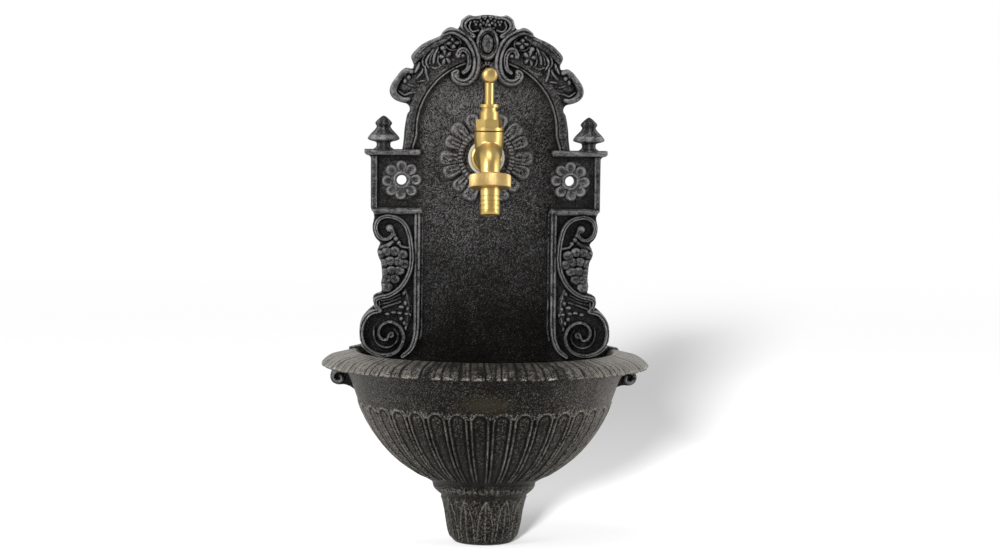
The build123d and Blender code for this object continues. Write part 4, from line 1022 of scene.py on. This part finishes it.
pocket = np.vstack([
    arc(0, ARCH_Z, POCKET_R, np.linspace(np.pi, 0, 49)),
    [(POCKET_HALF, POCKET_TOP), (POCKET_HALF, POCKET_LOW)],
    [(-POCKET_HALF, POCKET_LOW), (-POCKET_HALF, POCKET_TOP)]])
round_turns = np.linspace(0, 2 * np.pi, 32, endpoint=False)
screw_holes = [arc(side * SCREW_X, 0, SCREW_HOLE_R, round_turns) for side in (-1, 1)]
bm = flat_piece([PLATE_LOOP, pocket] + screw_holes, FLANGE_FRONT, 0.0)
finish_object(bm, "plate_flange", PLATE_NODES, "plate_iron", sharp=35)

# %% [markdown]
# The rosette round the tap is a ring of sixteen cupped petals with a rope ring inside it and a
# sunk seat for the washer. It needs the finest grid, so it is a casting of its own on the field.

# %% Rosette round the tap
ROSETTE_R = 42.5
ROPE_R = 21.0
GADROONS = 44
SEAT_R = 15.2


def rosette_relief(x, z):
    art = Relief(x, z)
    radius = np.hypot(x, z - TAP_Z)
    turn = np.arctan2(x, z - TAP_Z)
    art.lift(True, 0.12)
    faint = 0.12 + 0.22 * np.exp(-((radius - 41.0) / 0.8) ** 2)
    art.lift(radius > 39, faint)
    art.petals(0, TAP_Z, 16, 23.7, 37.2, 4.8)
    ribs = 0.45 + 0.55 * np.abs(np.cos(GADROONS / 2 * turn + (radius - ROPE_R) * 0.10)) ** 0.7
    rope = 0.3 + 3.9 * bar(radius, ROPE_R - 3.6, ROPE_R + 3.0, 2.4) * ribs
    on_rope = (radius > ROPE_R - 3.6) & (radius < ROPE_R + 3.0)
    art.lift(on_rope, rope)
    art.height = np.where(radius < SEAT_R, 0.0, art.height)
    return art.height


def rosette_gap(x, z):
    radius = np.hypot(x, z - TAP_Z)
    return np.maximum(radius - ROSETTE_R, TAP_HOLE_R - radius)


rosette_x = mirrored_lines((-43, 0.5), (0, 0))
rosette_z = grid_lines((TAP_Z - 43, 0.5), (TAP_Z + 43, 0))
bm = cast_sheet(rosette_x, rosette_z, rosette_gap, rosette_relief, -12.0, 0.4)
finish_object(bm, "tap_rosette", PLATE_NODES, "plate_iron")

# %% [markdown]
# A turned finial stands on each shoulder: a flared stem, a wide skirt, a neck and a bulb with a
# small point. A profile of a few points is spun round its own axis and gets eight soft flats.

# %% Finials
FINIAL_X = 82.2
FINIAL_PROFILE = [
    (0, 24.0), (8.0, 24.0), (7.6, 25.2), (6.0, 26.4), (5.5, 28.4), (6.2, 30.2), (9.6, 31.2),
    (12.2, 32.2), (12.7, 33.4), (11.6, 35.4), (9.4, 37.8), (7.2, 40.0), (5.9, 41.8), (5.5, 43.0),
    (6.3, 44.1), (6.7, 45.3), (6.2, 46.5), (4.8, 48.0), (3.3, 49.4), (1.9, 50.5), (0.8, 51.1), (0, 51.3)]
FACETS = 8


def spun(profile, axis_x, axis_y, steps):
    """A closed turned shape from (radius, height) points, in mm."""
    bm = bmesh.new()
    verts = [bm.verts.new((axis_x + r, axis_y, z)) for r, z in profile]
    edges = [bm.edges.new(pair) for pair in zip(verts[:-1], verts[1:])]
    bmesh.ops.spin(bm, geom=verts + edges, cent=(axis_x, axis_y, 0), axis=(0, 0, 1),
                   angle=2 * math.pi, steps=steps, use_merge=True)
    bmesh.ops.remove_doubles(bm, verts=bm.verts, dist=0.005)
    bmesh.ops.recalc_face_normals(bm, faces=bm.faces)
    return bm


def facet_finial(bm, axis_x):
    """Presses eight flats into a turned finial, gives wear to its edges and darkens its neck, as black paint
    left there and as painted shade.
    """
    paleness = []
    for vert in bm.verts:
        dx, dy = vert.co.x - axis_x, vert.co.y - FIELD_Y
        radius, turn = math.hypot(dx, dy), math.atan2(dx, -dy)
        ridge = abs(math.cos(FACETS / 2 * turn))
        shrink = 1 - 0.075 * (1 - ridge) * soft_step(vert.co.z, 29, 33)
        arch = math.exp(-((vert.co.z - 34.8 - 2.6 * (1 - ridge)) / 0.7) ** 2)
        vert.co.x = axis_x + dx * shrink
        vert.co.y = FIELD_Y + dy * shrink
        paleness.append(min(1, 0.05 + 0.3 * ridge ** 6 * (radius > 5) + 0.35 * arch + 0.3 * (radius > 11.6)))
    # The neck darkens, as black paint left there and as painted shade.
    neck_paint_and_shade = [0.5 * math.exp(-((vert.co.z - 43) / 0.8) ** 2) for vert in bm.verts]
    store_rub(bm, bm.verts, paleness, neck_paint_and_shade)


for name, side in (("finial_left", -1), ("finial_right", 1)):
    bm = spun(smooth_path(FINIAL_PROFILE, 4), side * FINIAL_X, FIELD_Y, 64)
    facet_finial(bm, side * FINIAL_X)
    finish_object(bm, name, PLATE_NODES, "plate_iron")

# %% [markdown]
# The bowl is half a turned shape, cut flat at the back where it meets the plate. A grid is
# wrapped round a closed section, one column per step of the turn, and its points move out or
# in along the section's own normal for the leaf rim, the tongues and the foot's leaves.

# %% Turned castings
BOWL_Y = -25.0


def section_normals(section):
    """Outward normals of a closed section of (radius, height) points, inside on its left."""
    ahead = np.roll(section, -1, axis=0) - np.roll(section, 1, axis=0)
    normal = np.column_stack([-ahead[:, 1], ahead[:, 0]])
    return normal / np.maximum(np.hypot(*normal.T), 1e-9)[:, None]


def turned_casting(section, back, columns, ornament):
    """A closed section wrapped round the bowl's axis up to a flat back plane.

    The ornament gives each point's shift along the normal, in mm, and its extra rub; a negative rub darkens
    it as in a hollow."""
    section = np.array(section)
    rows = len(section)
    bm, column, row = blank_grid(columns, rows)
    row = row % rows
    normals = section_normals(section)
    shares = np.linspace(-1, 1, columns + 1)
    limit = np.arccos(np.clip(-back / section[:, 0], -1, 1))
    turn = shares[None, :] * limit[:, None]
    move, extra = ornament(turn, section[:, :1], section[:, 1:])
    wear, hollow_paint_and_shade = rubbed_and_deep(np.vstack([move] * 3), 0)
    wear = np.clip(wear[rows:2 * rows] + extra, 0, 1)
    hollow_paint_and_shade = np.clip(hollow_paint_and_shade[rows:2 * rows] - np.minimum(extra, 0), 0, 1)
    radius = section[:, :1] + move * normals[:, :1]
    height = section[:, 1:] + move * normals[:, 1:]
    x = radius * np.sin(turn)
    y = BOWL_Y - radius * np.cos(turn)
    ends = (np.abs(shares) > 0.9999)[None, :] & (limit < math.pi - 0.001)[:, None]
    y = np.where(ends, BOWL_Y + back, y)
    for vert, i, j in zip(bm.verts, row, column):
        vert.co = (x[i, j], y[i, j], height[i, j])
    store_rub(bm, bm.verts, wear[row, column], hollow_paint_and_shade[row, column])
    bmesh.ops.remove_doubles(bm, verts=bm.verts, dist=0.002)
    bmesh.ops.holes_fill(bm, edges=open_edges(bm), sides=0)
    bmesh.ops.triangulate(bm, faces=[face for face in bm.faces if len(face.verts) > 4])
    return bm


print("the bowl turns round an axis", -BOWL_Y, "mm from the wall")

# %% [markdown]
# The body of the bowl flares out under the rim and has a plain band, then thirty-six tongues with
# a round top. A thin raised line follows each tongue's edge, its middle swells a little, a narrow
# groove parts it from the next, and two short strokes lean over the groove's upper end.

# %% Bowl body
TONGUES = 36
TONGUE_TOP = -175.0
TONGUE_LOW = -234.5
BACK_GAP = 12.0
BODY_OUT = [(113, -147.6), (110.2, -152.5), (107.4, -158), (105.2, -164), (103.1, -170), (98.8, -181.5),
            (93.6, -192), (87.0, -202.4), (78.8, -212.6), (69.6, -221.6), (58, -230), (44, -238.6)]
BODY_IN = [(37.5, -237.5), (10, -237.5), (10, -232.5), (36, -232.5), (62, -223), (81, -202.4), (92.5, -182),
           (97.8, -166), (99.5, -149.5)]

body_outer = smooth_path(BODY_OUT, 10)
body_section = np.vstack([body_outer, BODY_IN])


def tongues(turn, radius, height):
    """The body's shift, and its rub: the lines in broken stretches, and the grooves and sunk strips
    darkened, as black paint left there and as painted shade.
    """
    sector = 2 * np.pi / TONGUES
    across = np.abs(np.mod(turn, sector) - sector / 2) * radius
    half = sector / 2 * radius
    cap = half * 0.80
    over = np.maximum(0, height - (TONGUE_TOP - cap))
    edge = cap - np.hypot(across, over)
    rise = height - (TONGUE_TOP - 0.62 * cap)
    stroke = np.exp(-((half - across - 0.6 - 0.5 * rise) / 0.6) ** 2) * (rise > 0) * (rise < 4.2)
    outer = (np.arange(len(radius)) < len(body_outer))[:, None]
    zone = outer * soft_step(height, TONGUE_LOW - 2, TONGUE_LOW + 2) * (height < TONGUE_TOP + 2.5)
    groove = soft_step(-edge, 0.5, 1.3) * (over < 0.35 * cap)
    strip = np.exp(-((edge - 2.0) / 0.8) ** 2)
    line = 0.95 * np.exp(-((edge - 0.3) / 0.6) ** 2)
    middle = 0.3 * soft_step(edge, 2.4, 4.6)
    move = (line - 0.75 * strip + middle + 0.7 * stroke - 1.1 * groove) * zone
    broken = np.clip(0.75 + 0.35 * cast_noise(turn.shape, 3, 8), 0.15, 1.2)
    bright = 0.46 * np.exp(-((edge - 0.3) / 0.7) ** 2) * broken
    # The grooves and the sunk strips beside the lines darken as black paint left there and as painted shade.
    return move, (bright - 0.65 * strip + 0.5 * stroke * broken - 0.9 * groove) * zone


bm = turned_casting(body_section, BACK_GAP, 640, tongues)
finish_object(bm, "bowl_body", ["bowl"], "bowl_iron")

# %% [markdown]
# The rim slopes down and outwards like a ring of broad leaves. Each leaf has a few strokes along
# it and a rounded end, so the outer edge is gently scalloped.

# %% Bowl rim
RIM_SECTION = [
    (99.5, -152), (99.5, -139.6), (100.2, -137.4), (101.8, -135.8), (104, -135.1),
    (107, -135.3), (110, -136.0), (113, -136.7), (116, -137.4), (119, -138.1), (122, -138.9),
    (125, -140.4), (127.6, -142.2), (129.5, -144.0), (130.6, -145.5), (130.4, -146.7),
    (128.9, -147.1), (126, -147.0), (122, -147.1), (117, -147.5), (112, -148.3), (108, -149.6),
    (106, -152)]
RIM_LEAVES = 32
STROKES = 4
RIM_UNDER = -146.6
rim_rows = smooth_path(RIM_SECTION, 2)


def rim_leaves(turn, radius, height):
    """The rim's shift, and its rub: paler to both ends, partly rub and partly painted sheen; strokes
    darkened as black paint left in them and as painted shade; a chipped edge; and a painted shadow under the
    edge.
    """
    sector = 2 * np.pi / RIM_LEAVES
    sway = 0.10 * np.sin(turn * 7.0) + 0.08 * np.sin(turn * 17.0) + 0.004 * (radius - 118) * np.sign(turn)
    across = (np.mod(turn + sway * sector, sector) / sector - 0.5) * 2
    between = 1 - np.sqrt(np.maximum(0, 1 - np.abs(across) ** 3))
    uneven = 0.65 + 0.35 * np.sin(np.floor((turn / sector + sway) * STROKES) * 2.4)
    stroke = (1 - np.abs(np.cos(np.pi * across * STROKES / 2))) ** 2.2 * uneven
    on_top = (height > RIM_UNDER) * soft_step(radius, 101, 107)
    under = (height <= RIM_UNDER) * soft_step(radius, 117, 126)
    outward = 0.4 + 0.6 * soft_step(radius, 118, 128)
    move = on_top * (-1.5 * between * outward - 1.3 * stroke) - under * 1.4 * between
    # Paler ends: partly rubbed, partly painted sheen.
    side = soft_step(np.abs(turn), 0.35, 1.1)
    top = (radius > 103) * (height > -146.4)
    chips = np.clip(cast_noise(turn.shape, 2, 9), 0, 2)
    edge = np.exp(-((height + 145.2) / 0.9) ** 2) * (radius > 127)
    dark = np.clip(cast_noise(turn.shape, 5, 10), 0, 1.5) * (1 - side)
    # A painted shadow: a dark line under the rim's edge.
    shadow_under_edge = np.exp(-((height + 147.0) / 0.5) ** 2) * (radius > 125)
    # Strokes darken as black paint left in them and as painted shade.
    rubbed_and_sheen_top = top * (0.24 + 0.20 * side - 0.85 * stroke - 0.25 * dark)
    return move, rubbed_and_sheen_top + 0.8 * edge * chips - 0.8 * shadow_under_edge


bm = turned_casting(rim_rows, BACK_GAP, 620, rim_leaves)
finish_object(bm, "bowl_rim", ["bowl"], "bowl_iron")

# %% [markdown]
# The foot has a ring of small eggs under the bowl, then tall pointed leaves with a middle rib,
# and it is hollow for the drain pipe. Its back runs down to the wall.

# %% Bowl foot
FOOT_BACK = 25.0
FOOT_SECTION = [
    (43.2, -238.0), (41.6, -240.2), (40.6, -242.0), (39.9, -243.8), (39.2, -245.6), (38.0, -247.4),
    (36.2, -249.0), (34.6, -250.4), (33.2, -252.4), (32.2, -255.4), (31.2, -259.4), (30.2, -264),
    (29.4, -269), (28.6, -274), (27.6, -279), (26.2, -283.4), (24.6, -286.8), (22.8, -288.6),
    (20.6, -288.7), (20.0, -286), (20.6, -278), (22.4, -264), (25.0, -251), (26.6, -243),
    (30, -239)]
EGGS = 56
FOOT_LEAVES = 12
foot_rows = smooth_path(FOOT_SECTION + FOOT_SECTION[:1], 4)[:-1]


def foot_leaves(turn, radius, height):
    """The foot's shift, and its rub on the outlines, ribs and eggs."""
    outside = radius > 21.2 + (height + 288.5) * 0.14
    eggs = np.exp(-((height + 243.8) / 2.6) ** 2) * np.abs(np.cos(turn * EGGS / 2)) ** 0.5
    eggs = outside * eggs * (height > -248.5) * (height < -239.5)
    sector = 2 * np.pi / FOOT_LEAVES
    share = np.clip((height + 287.5) / 37.0, 0, 1)
    wide = (1 - share ** 3) * 0.92
    near_leaf = np.abs(np.mod(turn + sector / 2, sector) / sector * 2 - 1)
    back_leaf = np.abs(np.mod(turn, sector) / sector * 2 - 1)
    shape = np.zeros_like(turn)
    line = np.zeros_like(turn)
    for across, rise in ((back_leaf, 0.3), (near_leaf, 1.0)):
        inside = soft_step(wide - across, 0, 0.16)
        rib = np.exp(-(across / 0.09) ** 2)
        vein = 0.2 * np.abs(np.cos(across * 9))
        leaf = inside * rise * (0.55 + 0.5 * rib + vein)
        drawn = np.exp(-((wide - across - 0.09) / 0.07) ** 2) + 0.6 * rib * inside
        line = np.where(leaf > shape, drawn * rise, line)
        shape = np.maximum(shape, leaf)
    zone = outside * soft_step(-height, 249, 251.5) * soft_step(height, -288, -283.5)
    return 0.9 * eggs + (shape + 0.35 * line) * zone, 0.45 * line * zone + 0.25 * eggs


bm = turned_casting(foot_rows, FOOT_BACK, 320, foot_leaves)
finish_object(bm, "bowl_foot", ["bowl"], "bowl_iron")

# %% [markdown]
# Two flat walls close the bowl and the foot at the back. Each is a loop that follows the turned
# shape a little inside it, filled and extruded.

# %% Back walls of the bowl
WALL_T = 6.5
FOOT_WALL_T = 6.0
CLEAR = 0.02
foot_outer = np.array(FOOT_SECTION[:18])


def wall_loop(outer, inset, back, heights):
    """The outline that a turned shape has on a flat plane behind its axis."""
    widths = np.interp(-heights, -outer[:, 1], outer[:, 0]) - inset
    half_widths = np.sqrt(np.maximum(widths ** 2 - back ** 2, 4.0))
    right_side = np.column_stack([half_widths, heights])
    return np.vstack([right_side, right_side[::-1] * (-1, 1)])


bowl_loop = wall_loop(body_outer, 3.0, BACK_GAP, np.linspace(-150.5, -235.5, 40))
foot_loop = wall_loop(foot_outer, 1.6, FOOT_BACK, np.linspace(-241.5, -287, 24))
bm = flat_piece([bowl_loop], FIELD_Y - WALL_T, FIELD_Y - CLEAR)
finish_object(bm, "bowl_back", ["bowl"], "bowl_iron", sharp=35)
bm = flat_piece([foot_loop], -FOOT_WALL_T, -CLEAR)
finish_object(bm, "foot_back", ["bowl"], "bowl_iron", sharp=35)

# %% [markdown]
# The tap is turned and cast brass, polished bright, with fine turning lines. The union nut is
# left satin. Washers are white nylon and black rubber, and the hidden bolts are zinc steel.

# %% Small finishes
CLOUDS_PER_M = 120.0
MOTTLE_PER_M = 900.0
LEVEL_LINES = (60, 60, 2600)
UPRIGHT_LINES = (2600, 2600, 60)
EVEN_GRAIN = (400, 400, 400)


def metal_finish(name, tone, dark, rough, rough_swing, line_scale):
    """Turned metal: fine lines, and faint clouds in tone and gloss."""
    start, shader, place = new_finish(name)
    cloud = place.noise(CLOUDS_PER_M, 3.0)
    lines = start.node("Mapping", None, {"Vector": place, "Scale": line_scale}).noise(1.0, 2.0)
    start.feed(shader, {
        "Base Color": colour_mix(cloud.between(0.3, 0.72), tone, dark), "Metallic": 1.0,
        "Roughness": rough + (cloud - 0.5) * rough_swing + (lines - 0.5) * rough_swing,
        "Normal": lines.bump(0.06, 0.0002)})


def soft_finish(name, tone, dark, rough):
    """Rubber, nylon or packing: a dull surface with a fine mottle."""
    start, shader, place = new_finish(name)
    mottle = place.noise(MOTTLE_PER_M, 2.0)
    start.feed(shader, {
        "Base Color": colour_mix(mottle.between(0.35, 0.7), tone, dark),
        "Roughness": rough + (mottle - 0.5) * 0.2, "Normal": mottle.bump(0.1, 0.0002)})


metal_finish("brass", (0.82, 0.59, 0.22, 1), (0.73, 0.51, 0.165, 1), 0.36, 0.14, LEVEL_LINES)
metal_finish(
    "satin_brass", (0.78, 0.57, 0.26, 1), (0.68, 0.49, 0.21, 1), 0.48, 0.16, UPRIGHT_LINES)
metal_finish("steel", (0.56, 0.57, 0.58, 1), (0.46, 0.47, 0.48, 1), 0.34, 0.2, EVEN_GRAIN)
soft_finish("nylon", (0.80, 0.79, 0.76, 1), (0.72, 0.71, 0.68, 1), 0.5)
soft_finish("rubber", (0.018, 0.018, 0.018, 1), (0.03, 0.03, 0.03, 1), 0.7)
soft_finish("packing", (0.36, 0.33, 0.27, 1), (0.26, 0.24, 0.2, 1), 0.85)
print(len(FINISH_OF), "finishes in all")

# %% [markdown]
# The tap's body is a casting, so its chamber flows into the spout and the inlet with soft
# corners. Turned shapes and a swept tube are joined by a voxel remesh, smoothed, and cut flat
# where the bonnet sits. The rim of that cut is then extruded down into the bore for the valve.

# %% Shapes of the tap body
UPRIGHT = Vector((0, 0, 1))
TO_WALL = Vector((0, 1, 0))
SPINDLE_FOOT = Vector((0, -50.0, 0))
TAP_MIDDLE = Vector((0, 0, TAP_Z))
NOSE_START = Vector((0, -71.331, 6.413))
NOSE_TILT = math.radians(10)
NOSE_AXIS = Vector((0, -math.sin(NOSE_TILT), -math.cos(NOSE_TILT)))
SPOUT_DROP = math.radians(35)
SPOUT_RUN = 16.0
SPOUT_SIDES = 40
SPOUT_R = (9.4, 7.7)
BEND_R = 20.0
CHAMBER_PROFILE = [(0, 8.0), (4.6, 8.9), (7.9, 12.2), (9.9, 19.0), (11.0, 26.5), (11.6, 32), (11.75, 36),
                   (11.75, 42), (0, 42)]
SHANK_PROFILE = [(0, -50), (9.4, -50), (9.4, -22), (10.4, -19.4), (12.6, -18.4), (12.6, -15.4), (0, -15.4)]
NOSE_PROFILE = [(0, -0.4), (12.7, -0.4), (12.7, 5.4), (0, 5.4)]


def stand_on(bm, origin, axis):
    """Moves a shape from the upright axis at nought to another axis."""
    lean = axis.to_track_quat("Z", "X").to_matrix().to_4x4()
    bmesh.ops.transform(bm, matrix=lean, verts=bm.verts)
    bmesh.ops.translate(bm, verts=bm.verts, vec=origin)
    return bm


def turned_on(profile, origin, axis, steps=64):
    """A closed turned shape in mm on any axis; the profile gives radius and distance along it."""
    return stand_on(spun(profile, 0, 0, steps), origin, axis)


def spout_stations():
    """Points and directions along the spout: straight out of the chamber, then a bend."""
    leave = Vector((0, -math.cos(SPOUT_DROP), -math.sin(SPOUT_DROP)))
    begin = NOSE_START.copy()
    steep = math.pi / 2 - NOSE_TILT
    begin.y += BEND_R * (math.sin(steep) - math.sin(SPOUT_DROP))
    begin.z += BEND_R * (math.cos(SPOUT_DROP) - math.cos(steep))
    stations = [(begin - leave * SPOUT_RUN * share, leave) for share in (1, 0.66, 0.33)]
    for angle in np.linspace(SPOUT_DROP, steep, 12):
        point = begin + Vector((0, -BEND_R * (math.sin(angle) - math.sin(SPOUT_DROP)),
                                -BEND_R * (math.cos(SPOUT_DROP) - math.cos(angle))))
        stations.append((point, Vector((0, -math.cos(angle), -math.sin(angle)))))
    return stations


def add_spout(bm):
    """A tube of bridged rings from the chamber to the nose, closed at both ends."""
    across = Vector((1, 0, 0))
    stations = spout_stations()
    for (point, way), radius in zip(stations, np.linspace(*SPOUT_R, len(stations))):
        lean = Matrix((across, across.cross(way), way)).transposed().to_4x4()
        stand = Matrix.Translation(point) @ lean
        bmesh.ops.create_circle(bm, segments=SPOUT_SIDES, radius=radius, matrix=stand)
    bmesh.ops.bridge_loops(bm, edges=[edge for edge in bm.edges if edge.is_wire])
    bmesh.ops.holes_fill(bm, edges=open_edges(bm), sides=0)


print("the spout has", len(spout_stations()), "rings")

# %% [markdown]
# The shapes are joined in one blank, and the blank becomes the casting.

# %% Tap body
CHAMBER_TOP = 39.5
VOXEL = 0.42 * MM
SMOOTHINGS = 14
VALVE_BORE = [(9.05, CHAMBER_TOP), (9.05, 24.95), (4.6, 24.95), (4.6, 17.0)]

whole = bpy.data.meshes.new("tap_blank")
bm = bmesh.new()
for profile, origin, axis in (
        (CHAMBER_PROFILE, SPINDLE_FOOT, UPRIGHT), (SHANK_PROFILE, TAP_MIDDLE, TO_WALL),
        (NOSE_PROFILE, NOSE_START, NOSE_AXIS)):
    part = turned_on(profile, origin, axis)
    part.to_mesh(whole)
    part.free()
    bm.from_mesh(whole)
add_spout(bm)
bmesh.ops.recalc_face_normals(bm, faces=bm.faces)
bmesh.ops.scale(bm, verts=bm.verts, vec=(MM, MM, MM))
bm.to_mesh(whole)
bm.free()
blank = bpy.data.objects.new("tap_blank", whole)
scene.collection.objects.link(blank)
remesh = blank.modifiers.new("join", "REMESH")
remesh.mode = "VOXEL"
remesh.voxel_size = VOXEL
joined = bpy.data.meshes.new_from_object(blank.evaluated_get(bpy.context.evaluated_depsgraph_get()))
bpy.data.objects.remove(blank)
bm = bmesh.new()
bm.from_mesh(joined)
for repeat in range(SMOOTHINGS):
    bmesh.ops.smooth_vert(bm, verts=bm.verts, factor=0.5, use_axis_x=True, use_axis_y=True, use_axis_z=True)
bmesh.ops.bisect_plane(bm, geom=bm.verts[:] + bm.edges[:] + bm.faces[:], dist=1e-7,
                       plane_co=UPRIGHT * CHAMBER_TOP * MM, plane_no=UPRIGHT, clear_outer=True)
for radius, height in VALVE_BORE:
    made = bmesh.ops.extrude_edge_only(bm, edges=open_edges(bm))
    for vert in verts_of(made):
        out = Vector((vert.co.x, vert.co.y - SPINDLE_FOOT.y * MM, 0)).normalized() * radius
        vert.co = Vector((out.x, out.y + SPINDLE_FOOT.y, height)) * MM
bmesh.ops.holes_fill(bm, edges=open_edges(bm), sides=0)
bmesh.ops.recalc_face_normals(bm, faces=bm.faces)
finish_object(bm, "tap_casting", ["tap_body"], "brass", in_mm=False)

# %% [markdown]
# The rest of the tap's body is the threaded inlet behind the plate. The union nut is spun with
# four steps to each of its fine upright lines, and the lines are a small wave in its radius.

# %% Inlet and union nut
THREADS = 7
THREAD_PITCH = 1.81
inlet = [(4.6, 12.0), (9.6, 12.0)]
for k in range(THREADS):
    crest_y = 11.2 - k * THREAD_PITCH
    inlet += [(10.38, crest_y), (10.38, crest_y - 0.3), (9.3, crest_y - 0.9), (9.3, crest_y - 1.2)]
inlet += [(10.2, -1.6), (10.2, -16), (4.6, -16)]
bm = turned_on(inlet + inlet[:1], TAP_MIDDLE, TO_WALL)
finish_object(bm, "tap_inlet", ["tap_body"], "brass", sharp=30)

NUT_LINES = 96
LINE_DEPTH = 0.009
NUT_PROFILE = [
    (13.1, 0.3), (15.4, 0.3), (16.0, 0.7), (16.12, 1.3), (16.12, 9.6), (16.0, 10.1), (15.4, 10.55),
    (8.2, 10.55), (8.2, 8.55), (13.1, 8.55), (13.1, 0.3)]
bm = spun(NUT_PROFILE, 0, 0, 4 * NUT_LINES)
for vert in bm.verts:
    if math.hypot(vert.co.x, vert.co.y) > 15.9:
        line = 1 + LINE_DEPTH * math.cos(NUT_LINES * math.atan2(vert.co.y, vert.co.x))
        vert.co.x *= line
        vert.co.y *= line
stand_on(bm, NOSE_START, NOSE_AXIS)
finish_object(bm, "union_nut_lined", ["union_nut"], "satin_brass", body="union", sharp=40)

# %% [markdown]
# The hose tail has narrow grooves round it. The gland nut on top of the bonnet is a thin cap over
# a plain neck, with small chamfers that catch the light. Both are spun from their sections.

# %% Hose tail and gland nut
GROOVES_AT = (17.2, 20.9, 24.6, 28.3)
tail = [(5.0, 7.0), (12.3, 7.0), (12.3, 8.5), (7.5, 8.5), (7.5, 11.1), (7.78, 11.3)]
for groove in GROOVES_AT:
    tail += [(7.74, groove - 0.45), (7.4, groove - 0.1), (7.4, groove + 0.1), (7.78, groove + 0.45)]
tail += [(7.7, 30.6), (7.3, 31.6), (6.6, 32.05), (5.0, 32.05)]
bm = turned_on(tail + tail[:1], NOSE_START, NOSE_AXIS, 72)
finish_object(bm, "hose_tail_grooved", ["hose_tail"], "brass", body="tail", sharp=24)

GLAND_FOOT = 53.2
CAP_LOW = 58.5
CAP_TOP = 61.3
CAP_R = 7.6
CHAMFER = 0.3
gland = [(3.85, GLAND_FOOT), (5.9, GLAND_FOOT), (5.9, CAP_LOW), (CAP_R - CHAMFER, CAP_LOW),
         (CAP_R, CAP_LOW + CHAMFER), (CAP_R, CAP_TOP - CHAMFER), (CAP_R - CHAMFER, CAP_TOP), (3.85, CAP_TOP)]
bm = turned_on(gland + gland[:1], SPINDLE_FOOT, UPRIGHT)
finish_object(bm, "gland_nut_turned", ["gland_nut"], "brass", sharp=30)

# %% [markdown]
# In the photo the bar of the handle points straight at the camera, which stands a little to the
# left. The bar and its two balls are copied from the CAD nodes, merged, and turned round the
# spindle by that small angle. Their shape stays as it is, so nothing is modelled anew.

# %% Handle
HANDLE_TURN = Matrix.Rotation(math.radians(-2.4), 3, "Z")
for node_name in ("handle_bar", "handle_ball_front", "handle_ball_rear"):
    bm = bmesh.new()
    bm.from_mesh(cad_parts[node_name].data)
    bmesh.ops.remove_doubles(bm, verts=bm.verts, dist=0.001 * MM)
    bmesh.ops.rotate(bm, verts=bm.verts, cent=SPINDLE_FOOT * MM, matrix=HANDLE_TURN)
    finish_object(bm, node_name + "_turned", [node_name], "brass", "handle", 30, in_mm=False)

# %% [markdown]
# The nodes that keep their CAD shape get the finish that their slot names.

# %% Finishes on the CAD nodes
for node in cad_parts.values():
    old = node.data.materials[0].name if node.data.materials else ""
    node.data.materials.clear()
    node.data.materials.append(FINISH_OF.get(old.split(".")[0], FINISH_OF["brass"]))
print("CAD nodes painted:", len(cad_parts))

# %% [markdown]
# The last cell sets the colour view.

# %% Colour view
scene.view_settings.view_transform = "Standard"
